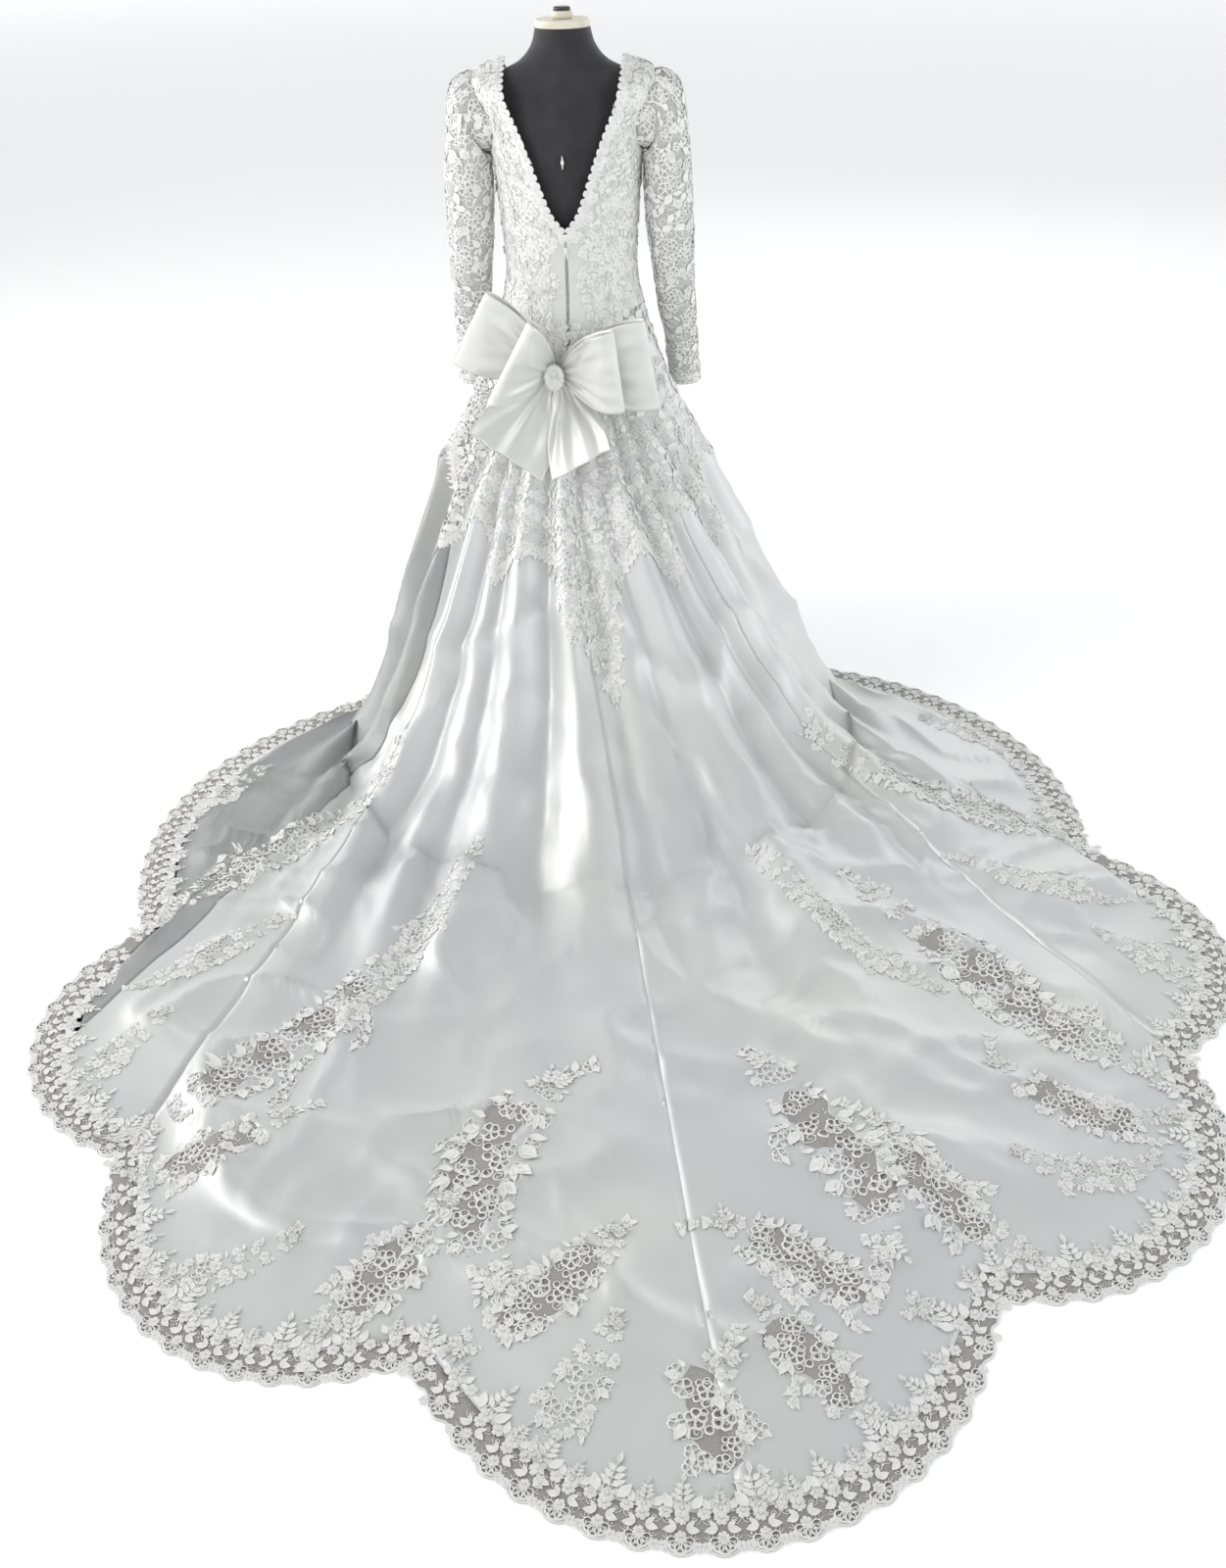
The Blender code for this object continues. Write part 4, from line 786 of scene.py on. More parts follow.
def make_spray(length, pairs=3):
    parts = [cord_part([(0, 0), (length * 0.5, length * 0.05), (length, 0)], length * 0.06, 0.0009)]
    for k in range(pairs):
        x = length * (0.2 + 0.6 * k / pairs)
        leaf = make_leaf(length * (0.42 - 0.07 * k), length * 0.17, last=3)
        parts.append(turned_part(leaf, 0.95, (x, 0)))
        parts.append(turned_part(leaf, -0.95, (x, 0)))
    parts.append(turned_part(make_leaf(length * 0.34, length * 0.15, last=3), 0.0, (length * 0.8, 0)))
    return joined(parts)


def make_pearl(radius):
    """Upper part of a small bead."""
    sides = 6
    rings = []
    for level, (reach, rise) in enumerate(((1.0, 0.3), (0.74, 1.35))):
        turns = np.linspace(0, 2 * np.pi, sides, endpoint=False) + level * 0.5
        ring = np.stack([np.cos(turns) * reach, np.sin(turns) * reach, np.full(sides, rise)], axis=1)
        rings.append(ring * radius)
    points = np.concatenate(rings + [np.array([[0, 0, 1.75 * radius]])])
    faces = []
    for a in range(sides):
        b = (a + 1) % sides
        faces += [(a, b, sides + b), (a, sides + b, sides + a), (sides + a, sides + b, 2 * sides)]
    return points, np.array(faces)


TEMPLATES = {
    "flower5": make_flower(5, 1.0, 0.11),
    "flower6": make_flower(6, 1.0, 0.11),
    "open_flower": make_flower(5, 1.0, 0.09, True),
    "leaf": make_leaf(1.0, 0.42, 0.09, 4),
    "wide_leaf": make_leaf(1.0, 0.60, 0.09, 4),
    "petal": ringed(petal_outline(1.0, 0.85), 0.01, 0.12, 0.04),
    "open_petal": ringed(petal_outline(1.0, 0.95, 9), 0.01, 0.10, 0.0, 0.66, True),
    "scroll": make_scroll(1.0),
    "spray": make_spray(1.0),
    "pearl": make_pearl(1.0),
}
for key in ("scroll", "spray"):
    flat_points, flat_faces = TEMPLATES[key]
    flat_points[:, 2] *= 90.0


class Lace(Piece):
    """Lace motifs stamped on a surface."""

    def stamp(self, kind, grid, row, col, angle, size, lift=0.0006, tall=1.0, flip=False):
        points, faces = TEMPLATES[kind]
        matrix = grid.frame(row, col)
        if matrix is None:
            return
        x = points[:, 0] * size
        y = points[:, 1] * size * (-1 if flip else 1)
        c, s = math.cos(angle), math.sin(angle)
        local = np.stack([x * c - y * s, x * s + y * c])
        steps = matrix @ local
        rows, cols = row + steps[1], col + steps[0]
        if grid.points is not None:
            limit = grid.points.shape
            rows = np.clip(rows, -2.0, limit[0] + 1.0)
            if not grid.closed:
                cols = np.clip(cols, -9.0, limit[1] + 8.0)
        spots, normals = grid.at(rows, cols)
        height = np.minimum(points[:, 2] * size * tall, 0.0024)
        slot = 1 if kind == "pearl" else 0
        self.add(spots + normals * (lift + height)[:, None], faces, slot)

    def blossom(self, grid, row, col, size, rng, lift=0.0006):
        """Flower with a pearl at its heart."""
        kind = rng.choice(("flower5", "flower6")) if size < 0.0125 else "open_flower"
        self.stamp(kind, grid, row, col, rng.uniform(0, 6.28), size, lift)
        self.stamp("pearl", grid, row, col, 0.0, min(0.0021, size * 0.16), lift + 0.0009)


def scatter(grid, spacing, rng, allowed, tries, rows=None, cols=None):
    """Spots on a surface at least a spacing apart where allowed(row, col, point) holds."""
    height, width = grid.points.shape[:2]
    low_row, high_row = rows or (0, height - 1)
    low_col, high_col = cols or (0, width if grid.closed else width - 1)
    cells, spots = {}, []
    picks = np.array([(rng.uniform(low_row, high_row), rng.uniform(low_col, high_col)) for _ in range(tries)])
    places, _ = grid.at(picks[:, 0], picks[:, 1])
    for (row, col), place in zip(picks, places):
        key = tuple(int(math.floor(v / spacing)) for v in place)
        near = False
        for shift in itertools.product((-1, 0, 1), repeat=3):
            for other in cells.get(tuple(a + b for a, b in zip(key, shift)), ()):
                if np.sum((other - place) ** 2) < spacing * spacing:
                    near = True
        if near or not allowed(row, col, place):
            continue
        cells.setdefault(key, []).append(place)
        spots.append((row, col, place))
    return spots


def fill_lace(lace, grid, spacing, seed, allowed, tries, size=0.011, lift=0.0006, rows=None, cols=None):
    """Covers a surface with flowers, leaves and scrolls at uneven places."""
    rng = random.Random(seed)
    for row, col, _ in scatter(grid, spacing, rng, allowed, tries, rows, cols):
        pick = rng.random()
        scale = size * rng.uniform(0.82, 1.22)
        angle = rng.uniform(0, 2 * math.pi)
        if pick < 0.34:
            lace.blossom(grid, row, col, scale, rng, lift)
        elif pick < 0.60:
            lace.stamp("wide_leaf", grid, row, col, angle, scale * 1.6, lift)
            lace.stamp("leaf", grid, row, col, angle + 2.3, scale * 1.3, lift)
        elif pick < 0.80:
            lace.stamp("scroll", grid, row, col, angle, scale * 0.85, lift, flip=rng.random() < 0.5)
            lace.stamp("pearl", grid, row, col, 0.0, 0.0014, lift)
        else:
            lace.stamp("spray", grid, row, col, angle, scale * 2.1, lift)


def mixed(node_tree, kind, **inputs):
    node = node_tree.nodes.new(kind)
    for key, value in inputs.items():
        node.inputs[key.replace("_", " ")].default_value = value
    return node


def new_material(name, colour, roughness, metallic=0.0, **sockets):
    material = bpy.data.materials.new(name)
    material.use_nodes = True
    shader = material.node_tree.nodes["Principled BSDF"]
    shader.inputs["Base Color"].default_value = (*colour, 1.0)
    shader.inputs["Roughness"].default_value = roughness
    shader.inputs["Metallic"].default_value = metallic
    for key, value in sockets.items():
        shader.inputs[key.replace("_", " ")].default_value = value
    return material, shader


def vary(material, shader, first, second, scale, detail=3.0):
    """Base colour that drifts between two colours over the surface."""
    tree = material.node_tree
    place = tree.nodes.new("ShaderNodeTexCoord")
    pattern = mixed(tree, "ShaderNodeTexNoise", Scale=scale, Detail=detail)
    ramp = tree.nodes.new("ShaderNodeValToRGB")
    ramp.color_ramp.elements[0].position = 0.32
    ramp.color_ramp.elements[1].position = 0.68
    ramp.color_ramp.elements[0].color = (*first, 1.0)
    ramp.color_ramp.elements[1].color = (*second, 1.0)
    tree.links.new(place.outputs["Object"], pattern.inputs["Vector"])
    tree.links.new(pattern.outputs["Fac"], ramp.inputs["Fac"])
    tree.links.new(ramp.outputs["Color"], shader.inputs["Base Color"])


def roughen(material, shader, low, high, scale):
    tree = material.node_tree
    place = tree.nodes.new("ShaderNodeTexCoord")
    pattern = mixed(tree, "ShaderNodeTexNoise", Scale=scale, Detail=4.0)
    span = tree.nodes.new("ShaderNodeMapRange")
    span.inputs["To Min"].default_value = low
    span.inputs["To Max"].default_value = high
    tree.links.new(place.outputs["Object"], pattern.inputs["Vector"])
    tree.links.new(pattern.outputs["Fac"], span.inputs["Value"])
    tree.links.new(span.outputs["Result"], shader.inputs["Roughness"])


def bump(material, shader, kind, scale, strength, distance):
    """Small relief from a noise, voronoi or wave pattern."""
    tree = material.node_tree
    place = tree.nodes.new("ShaderNodeTexCoord")
    relief = mixed(tree, "ShaderNodeBump", Strength=strength, Distance=distance)
    if kind == "noise":
        pattern = mixed(tree, "ShaderNodeTexNoise", Scale=scale, Detail=5.0)
        out = pattern.outputs["Fac"]
    elif kind == "cells":
        pattern = mixed(tree, "ShaderNodeTexVoronoi", Scale=scale)
        out = pattern.outputs["Distance"]
    else:
        pattern = mixed(tree, "ShaderNodeTexWave", Scale=scale, Distortion=1.5, Detail=2.0)
        out = pattern.outputs["Fac"]
    tree.links.new(place.outputs["Object"], pattern.inputs["Vector"])
    tree.links.new(out, relief.inputs["Height"])
    tree.links.new(relief.outputs["Normal"], shader.inputs["Normal"])


def make_net(name, colour, open_share, scale):
    """Fine net: threads round small holes, seen through."""
    material, shader = new_material(name, colour, 0.75)
    vary(material, shader, colour, tuple(0.9 * c for c in colour), 30.0)
    tree = material.node_tree
    place = tree.nodes.new("ShaderNodeTexCoord")
    pattern = mixed(tree, "ShaderNodeTexVoronoi", Scale=scale)
    pattern.feature = "DISTANCE_TO_EDGE"
    ramp = tree.nodes.new("ShaderNodeValToRGB")
    ramp.color_ramp.elements[0].position = 0.10
    ramp.color_ramp.elements[1].position = 0.22
    ramp.color_ramp.elements[0].color = (1.0, 1.0, 1.0, 1.0)
    rest = 1.0 - open_share
    ramp.color_ramp.elements[1].color = (rest, rest, rest, 1.0)
    tree.links.new(place.outputs["Object"], pattern.inputs["Vector"])
    tree.links.new(pattern.outputs["Distance"], ramp.inputs["Fac"])
    tree.links.new(ramp.outputs["Color"], shader.inputs["Alpha"])
    return material


def make_materials():
    found = {}
    satin, shader = new_material("satin_ivory", (0.65, 0.66, 0.66), 0.43, 0.22, Specular_IOR_Level=0.58,
                                 Sheen_Weight=0.06, Anisotropic=0.3)
    vary(satin, shader, (0.63, 0.645, 0.65), (0.68, 0.685, 0.67), 2.2)
    bump(satin, shader, "wave", 260.0, 0.06, 0.0004)
    found["satin"] = satin
    sheen, shader = new_material("satin_bow", (0.71, 0.715, 0.69), 0.40, 0.22, Specular_IOR_Level=0.62,
                                 Sheen_Weight=0.06, Anisotropic=0.3)
    vary(sheen, shader, (0.69, 0.695, 0.67), (0.74, 0.74, 0.715), 6.0)
    bump(sheen, shader, "wave", 260.0, 0.06, 0.0004)
    found["bow"] = sheen
    lace, shader = new_material("lace_cord", (0.86, 0.855, 0.83), 0.62, Specular_IOR_Level=0.35, Sheen_Weight=0.2)
    vary(lace, shader, (0.83, 0.83, 0.81), (0.90, 0.89, 0.865), 60.0)
    bump(lace, shader, "wave", 900.0, 0.35, 0.0004)
    found["lace"] = lace
    ground, shader = new_material("lace_ground", (0.70, 0.71, 0.70), 0.70, Sheen_Weight=0.1)
    vary(ground, shader, (0.63, 0.64, 0.64), (0.74, 0.745, 0.73), 90.0)
    bump(ground, shader, "cells", 620.0, 0.5, 0.0006)
    found["ground"] = ground
    pearl, shader = new_material("pearl", (0.86, 0.85, 0.80), 0.16, Specular_IOR_Level=0.75, Coat_Weight=0.5,
                                 Coat_Roughness=0.08)
    vary(pearl, shader, (0.88, 0.85, 0.80), (0.82, 0.85, 0.86), 140.0)
    found["pearl"] = pearl
    found["net"] = make_net("net_white", (0.62, 0.62, 0.615), 0.62, 520.0)
    found["window_net"] = make_net("net_window", (0.42, 0.40, 0.375), 0.40, 520.0)
    jersey, shader = new_material("jersey_charcoal", (0.018, 0.017, 0.021), 0.85, Sheen_Weight=0.35)
    vary(jersey, shader, (0.014, 0.013, 0.017), (0.024, 0.022, 0.027), 26.0)
    bump(jersey, shader, "wave", 480.0, 0.4, 0.0005)
    found["jersey"] = jersey
    cream, shader = new_material("cap_cream", (0.70, 0.665, 0.56), 0.38)
    vary(cream, shader, (0.72, 0.69, 0.59), (0.64, 0.60, 0.49), 35.0)
    roughen(cream, shader, 0.28, 0.5, 60.0)
    found["cream"] = cream
    black, shader = new_material("knob_black", (0.02, 0.02, 0.02), 0.35)
    vary(black, shader, (0.016, 0.016, 0.016), (0.03, 0.03, 0.03), 60.0)
    roughen(black, shader, 0.25, 0.5, 90.0)
    found["black"] = black
    steel, shader = new_material("stand_steel", (0.30, 0.30, 0.31), 0.35, 1.0)
    vary(steel, shader, (0.27, 0.27, 0.28), (0.34, 0.34, 0.35), 18.0)
    roughen(steel, shader, 0.25, 0.5, 140.0)
    found["steel"] = steel
    enamel, shader = new_material("zip_enamel", (0.80, 0.79, 0.75), 0.28, Coat_Weight=0.4)
    vary(enamel, shader, (0.82, 0.81, 0.77), (0.74, 0.73, 0.69), 200.0)
    roughen(enamel, shader, 0.2, 0.4, 300.0)
    found["enamel"] = enamel
    coil, shader = new_material("zip_coil", (0.36, 0.375, 0.36), 0.55)
    vary(coil, shader, (0.30, 0.32, 0.30), (0.42, 0.43, 0.41), 180.0)
    found["coil"] = coil
    floor, shader = new_material("studio_floor", (0.86, 0.86, 0.86), 0.9, Specular_IOR_Level=0.05,
                                 Emission_Color=(1.0, 1.0, 1.0, 1.0), Emission_Strength=0.30)
    vary(floor, shader, (0.855, 0.855, 0.855), (0.865, 0.865, 0.865), 0.6)
    found["floor"] = floor
    backdrop, shader = new_material("studio_backdrop", (0.86, 0.86, 0.86), 0.9, Specular_IOR_Level=0.05,
                                    Emission_Color=(1.0, 1.0, 1.0, 1.0), Emission_Strength=0.75)
    vary(backdrop, shader, (0.855, 0.855, 0.855), (0.865, 0.865, 0.865), 0.6)
    found["backdrop"] = backdrop
    return found


def finish_piece(item, slot, *nodes):
    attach(item, BODY)
    if nodes:
        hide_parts(*nodes)
    return item


# The skirt and train.

def cell_line(cell):
    """Waist azimuth, landing azimuth and the satin's hem point at a line of the skirt, in cells."""
    if abs(cell) <= HEM_CELLS:
        first = -HEM_CELLS
        for lobe in LOBES:
            cells = lobe[3]
            if cell <= first + cells:
                waist, landing, point, normal = hem_station(lobe, max(cell - first, 0.0) / cells)
                return waist, landing, point - normal * BORDER
            first += cells
    place = abs(cell) - HEM_CELLS
    k = min(int(place), len(FRONT_STATIONS) - 2)
    waist = mix(FRONT_STATIONS[k], FRONT_STATIONS[k + 1], place - k)
    last = HEM[-1]
    landing = mix(180.0, last[1], (180 - waist) / (180 - last[0]))
    turn = math.radians(landing)
    hem = Vector((FRONT_HEM * math.sin(turn), -FRONT_HEM * math.cos(turn)))
    if place < 1.0:
        edge = hem_station(LOBES[-1], 1.0)
        hem = (edge[2] - edge[3] * BORDER).lerp(hem, place)
    if cell < 0:
        return -waist, -landing, Vector((-hem.x, hem.y))
    return waist, landing, hem


LOBES = lobes()
HEM_CELLS = sum(row[5] for row in HEM[1:])
FRONT_STATIONS = [HEM[-1][0]] + front_lines()
HALF_CELLS = HEM_CELLS + len(FRONT_STATIONS) - 1


def skirt_folds(cell, fall, floor, room):
    """Height of folds and drapes over the plain skirt."""
    total = 2 * HALF_CELLS
    height = 0.0
    spread = mix(1.0, min(1.0, room / FOLD_ROOM), ease((fall - FOLD_FADE) / (1 - FOLD_FADE)))
    lean = 0.45 * noise.noise((cell * 0.12, fall * 2.2, 3.0)) * ease(fall * 1.5)
    for ridge, half, rise, run in FOLDS:
        off = (cell + lean - ridge + total / 2) % total - total / 2
        if abs(off) < half:
            bump_share = (0.5 + 0.5 * math.cos(math.pi * off / half)) ** 0.82
            grown = ease(fall / 0.62) * 0.92 + 0.08 * ease(fall / 0.08)
            height += rise * bump_share * grown * spread * (1 - ease(floor / run))
    if floor > 0:
        for ridge, half, rise, start, stop in DRAPES:
            off = cell + 0.5 * noise.noise((floor * 3.0, ridge, 1.0)) - ridge
            if abs(off) < half and start <= floor <= stop:
                middle = (floor - start) / (stop - start)
                body = ease((floor - start + 0.12) / 0.2) * (1 - ease(middle))
                height += rise * (0.5 + 0.5 * math.cos(math.pi * off / half)) * body * min(1.0, room / 0.5)
    hem_fade = 1 - ease((floor - 0.80) / 0.16)
    strip = 0.0004 * ease((fall - 0.5) * 3) * hem_fade * max(0.0, 1 - abs(cell - 0.5) / 0.5)
    return height + strip


def wrinkle(x, y, z, fall, floor):
    """Soft dents and thin creases of the satin at a point of the plain skirt."""
    strength = ease((fall - 0.10) / 0.35) * (1 - ease((floor - 0.78) / 0.17))
    if strength == 0.0:
        return 0.0
    broad = noise.noise((x * 2.6 + y * 0.8, y * 4.2 - x * 0.7, z * 1.9 + 4.2))
    middle = noise.noise((x * 6.0 + y * 2.2, y * 8.5, z * 3.2 + 9.1))
    line_1 = 1 - abs(noise.noise((x * 2.2 - y * 1.5, y * 5.2 + x * 1.1, z * 2.4 + 15.3)))
    line_2 = 1 - abs(noise.noise((x * 5.2 + y * 1.9, y * 6.1 - x * 2.5, z * 2.0 + 31.7)))
    line_3 = 1 - abs(noise.noise((x * 7.5 + y * 5.5, y * 6.5 - x * 6.0, z * 5.0 + 52.9)))
    gate = ease(0.5 + 1.6 * noise.noise((x * 1.7, y * 2.1, 77.0)))
    height = 0.0120 * (0.4 + broad) + 0.0060 * (0.4 + middle) + 0.0140 * line_1 ** 10 + 0.0085 * line_2 ** 12
    height += 0.0068 * gate * line_3 ** 11
    return strength * max(height, 0.0)


def spaced(count, power):
    """Shares from 0 to 1 that lie closer together toward 1 for a power under 1."""
    return [(k / count) ** power for k in range(count + 1)]


def skirt_surface():
    """Outer grid of the skirt and train, rows from the waist down and out, columns round the wearer."""
    columns = 2 * HALF_CELLS * VISUAL_SPLIT
    cells = [k / VISUAL_SPLIT - HALF_CELLS for k in range(columns)]
    falls = spaced(FALL_COUNT, 0.9)
    floors = spaced(FLOOR_COUNT, 0.95)[1:]
    base = np.zeros((len(falls) + len(floors), columns, 3))
    bumps = np.zeros(base.shape[:2])
    for k, cell in enumerate(cells):
        waist, landing, hem = cell_line(cell)
        rim = waist_rim(waist, GOWN)
        x, y = swing(hem.x, hem.y, swing_share(landing))
        room = hem.length - skirt_radius(landing, 0.0, rim)
        for j, fall in enumerate(falls):
            azimuth = mix(waist, landing, ease(fall))
            height = mix(rim.z - WAIST_DROP, SATIN, fall)
            if fall == 0.0:
                base[j, k] = rim.x, rim.y, height
            else:
                radius = skirt_radius(azimuth, height, rim)
                turn = math.radians(azimuth)
                share = ease(fall) * swing_share(azimuth)
                base[j, k] = *swing(radius * math.sin(turn), -radius * math.cos(turn), share), height
            bumps[j, k] = skirt_folds(cell, fall, 0.0, room)
        landing_point = base[len(falls) - 1, k].copy()
        end = np.array((x, y, SATIN))
        run = float(np.linalg.norm(end - landing_point))
        for j, floor in enumerate(floors):
            base[len(falls) + j, k] = landing_point * (1 - floor) + end * floor
            bumps[len(falls) + j, k] = skirt_folds(cell, 1.0, floor, run)
    for j, k in itertools.product(range(base.shape[0]), range(columns)):
        fall = falls[j] if j < len(falls) else 1.0
        floor = floors[j - len(falls)] if j >= len(falls) else 0.0
        bumps[j, k] += wrinkle(*base[j, k], fall, floor)
    normals = grid_normals(base, True)
    outer = base + normals * bumps[..., None]
    outer[..., 2] = np.maximum(outer[..., 2], SATIN)
    return outer


def column_of(cell):
    return (cell + HALF_CELLS) * VISUAL_SPLIT


class Floor:
    """Flat ground plane for lace that lies on the floor, in metres instead of grid steps."""

    closed = False
    points = None

    def __init__(self, height):
        self.height = height

    def at(self, row, col):
        spots = np.stack([np.asarray(col, float), np.asarray(row, float),
                          np.full(np.shape(col), self.height)], axis=-1)
        normals = np.zeros(spots.shape)
        normals[..., 2] = 1.0
        return spots, normals

    def frame(self, row, col):
        return np.eye(2)


class OnTrain:
    """Finds the row and column of the skirt's grid over a point of the floor."""

    def __init__(self, grid):
        self.grid = grid
        rows, cols = grid.points.shape[:2]
        self.first = FALL_COUNT - 14
        self.cols = cols
        self.tree = kdtree.KDTree((rows - self.first) * cols)
        for i in range(self.first, rows):
            for j in range(cols):
                x, y, _ = grid.points[i, j]
                self.tree.insert((x, y, 0.0), (i - self.first) * cols + j)
        self.tree.balance()

    def find(self, x, y):
        _, index, _ = self.tree.find((x, y, 0.0))
        row, col = index // self.cols + self.first, index % self.cols
        row, col = float(row), float(col)
        for _ in range(3):
            rows = np.array([row, row - 0.5, row + 0.5, row, row])
            cols = np.array([col, col, col, col - 0.5, col + 0.5])
            spots, _ = self.grid.at(rows, cols)
            across, down = spots[4, :2] - spots[3, :2], spots[2, :2] - spots[1, :2]
            matrix = np.array([[across[0], down[0]], [across[1], down[1]]])
            if abs(np.linalg.det(matrix)) < 1e-10:
                break
            step = np.linalg.solve(matrix, np.array((x, y)) - spots[0, :2])
            step = np.clip(step, -1.5, 1.5)
            col, row = col + step[0], row + step[1]
        return row, col


def spine(points, share):
    """Point and direction on a smooth line through four points."""
    rows = [(i / (len(points) - 1), *point) for i, point in enumerate(points)]
    here = np.array([smooth_value(rows, share, k) for k in (1, 2)])
    ahead = np.array([smooth_value(rows, min(share + 0.02, 1.0), k) for k in (1, 2)])
    back = np.array([smooth_value(rows, max(share - 0.02, 0.0), k) for k in (1, 2)])
    return here, unit(ahead - back)


def body_width(share, place=0.0):
    """Width of an applique along its line, full in the middle, narrow at both ends and ragged between."""
    ragged = 1 + 0.34 * noise.noise((share * 6.0, place * 7.3, 2.0))
    return (0.30 + 0.70 * math.sin(math.pi * min(1.0, 0.12 + 0.80 * share)) ** 1.1) * ragged


def window_blobs():
    """Rounded gaps in the satin behind the appliques: centre on the floor and radii."""
    blobs = []
    rng = random.Random(SEED)
    for points, half, cut in APPLIQUES:
        if not cut:
            continue
        for share in (0.22, 0.40, 0.58, 0.76):
            spot, along = spine(points, share)
            across = np.array((-along[1], along[0]))
            spot = spot + across * half * rng.uniform(-0.18, 0.18)
            size = half * body_width(share, points[0][0]) * rng.uniform(0.50, 0.66)
            blobs.append((*swing(*spot), size))
    return blobs


def decorate(lace, finder, grid, points, half, rng, cut):
    """Flowers, leaves, scrolls and cords along one applique."""
    length = sum(math.dist(a, b) for a, b in zip(points, points[1:]))

    def put(kind, x, y, heading, size, **more):
        x, y = swing(x, y)
        row, col = finder.find(x, y)
        spots, _ = grid.at(np.array([row, row]), np.array([col - 0.5, col + 0.5]))
        right = spots[1, :2] - spots[0, :2]
        base = math.atan2(right[1], right[0])
        angle = heading + TRAIN_SWING - base
        if kind == "blossom":
            lace.blossom(grid, row, col, size, rng)
        else:
            lace.stamp(kind, grid, row, col, angle, size, **more)

    steps = max(3, int(length / (half * 0.76)))
    for k in range(steps + 1):
        share = k / steps
        spot, along = spine(points, share)
        across = np.array((-along[1], along[0]))
        heading = math.atan2(along[1], along[0])
        wide = half * body_width(share, points[0][0])
        side = 1 if k % 2 else -1
        for shift in (0.30, -0.36):
            flower = spot + across * wide * shift * side + along * wide * (0.3 if shift < 0 else 0.0)
            put("blossom", *flower, 0, min(0.0185, wide * rng.uniform(0.30, 0.38)))
        for edge in (-1, 1):
            rim = spot + across * wide * edge * rng.uniform(0.70, 0.84) + along * rng.uniform(-0.2, 0.2) * wide
            put("blossom", *rim, 0, min(0.015, wide * rng.uniform(0.24, 0.32)))
            out = heading + edge * rng.uniform(0.9, 1.3)
            tip = spot + across * wide * edge * 0.60
            put("wide_leaf", *tip, out, wide * rng.uniform(0.42, 0.58))
            put("leaf", *tip, out - edge * 0.75, wide * rng.uniform(0.40, 0.55))
            put("leaf", *(tip - along * wide * 0.3), out + edge * 0.6, wide * rng.uniform(0.35, 0.5))
            put("scroll", *(spot + across * wide * edge * 0.42 + along * wide * 0.34), out + 0.4,
                wide * 0.17, flip=edge > 0)
            put("scroll", *(spot + across * wide * edge * 0.80 + along * wide * 0.30), out - 0.9,
                wide * 0.14, flip=edge < 0)
            put("open_petal", *(spot + along * wide * 0.30), out + 0.2, wide * 0.30)
            put("open_petal", *(spot - along * wide * 0.22), out + 0.9, wide * 0.26)
            for _ in range(2):
                bead = spot + across * wide * edge * rng.uniform(0.3, 0.95) + along * wide * rng.uniform(-0.4, 0.4)
                put("pearl", *bead, 0, rng.uniform(0.0011, 0.0017))
    for share, turn in ((0.0, math.pi), (1.0, 0.0)):
        spot, along = spine(points, share)
        heading = math.atan2(along[1], along[0]) + turn
        direction = np.array((math.cos(heading), math.sin(heading)))
        for swerve in (-0.55, 0.0, 0.55):
            put("spray", *(spot + direction * half * 0.1), heading + swerve, half * rng.uniform(0.55, 0.8))
        drift = rng.uniform(-0.5, 0.5)
        for _ in range(rng.randint(2, 4)):
            heading += drift * 0.5
            spot = spot + np.array((math.cos(heading), math.sin(heading))) * half * 0.42
            put("blossom", *spot, 0, half * rng.uniform(0.17, 0.25))
            for edge in (-1, 1):
                put("wide_leaf", *spot, heading + edge * rng.uniform(0.7, 1.3), half * rng.uniform(0.24, 0.38))
    for _ in range(2):
        spot, along = spine(points, rng.uniform(0.25, 0.75))
        edge = rng.choice((-1, 1))
        heading = math.atan2(along[1], along[0]) + edge * rng.uniform(0.6, 1.2)
        spot = spot + np.array((-along[1], along[0])) * half * 0.8 * edge
        for _ in range(rng.randint(2, 4)):
            put("blossom", *spot, 0, half * rng.uniform(0.18, 0.26))
            put("leaf", *spot, heading + rng.uniform(-0.9, 0.9), half * rng.uniform(0.3, 0.45))
            put("scroll", *spot, heading + 1.2, half * 0.15, flip=edge > 0)
            heading -= edge * 0.22
            spot = spot + np.array((math.cos(heading), math.sin(heading))) * half * 0.40


def border_line(lobe, steps):
    """Outer hem points of a lobe and their inward directions, evenly spaced."""
    rows = [hem_station(lobe, k / steps) for k in range(steps + 1)]
    points = np.array([swing(*row[2]) for row in rows])
    normals = np.array([swing(*row[3]) for row in rows])
    return points, normals


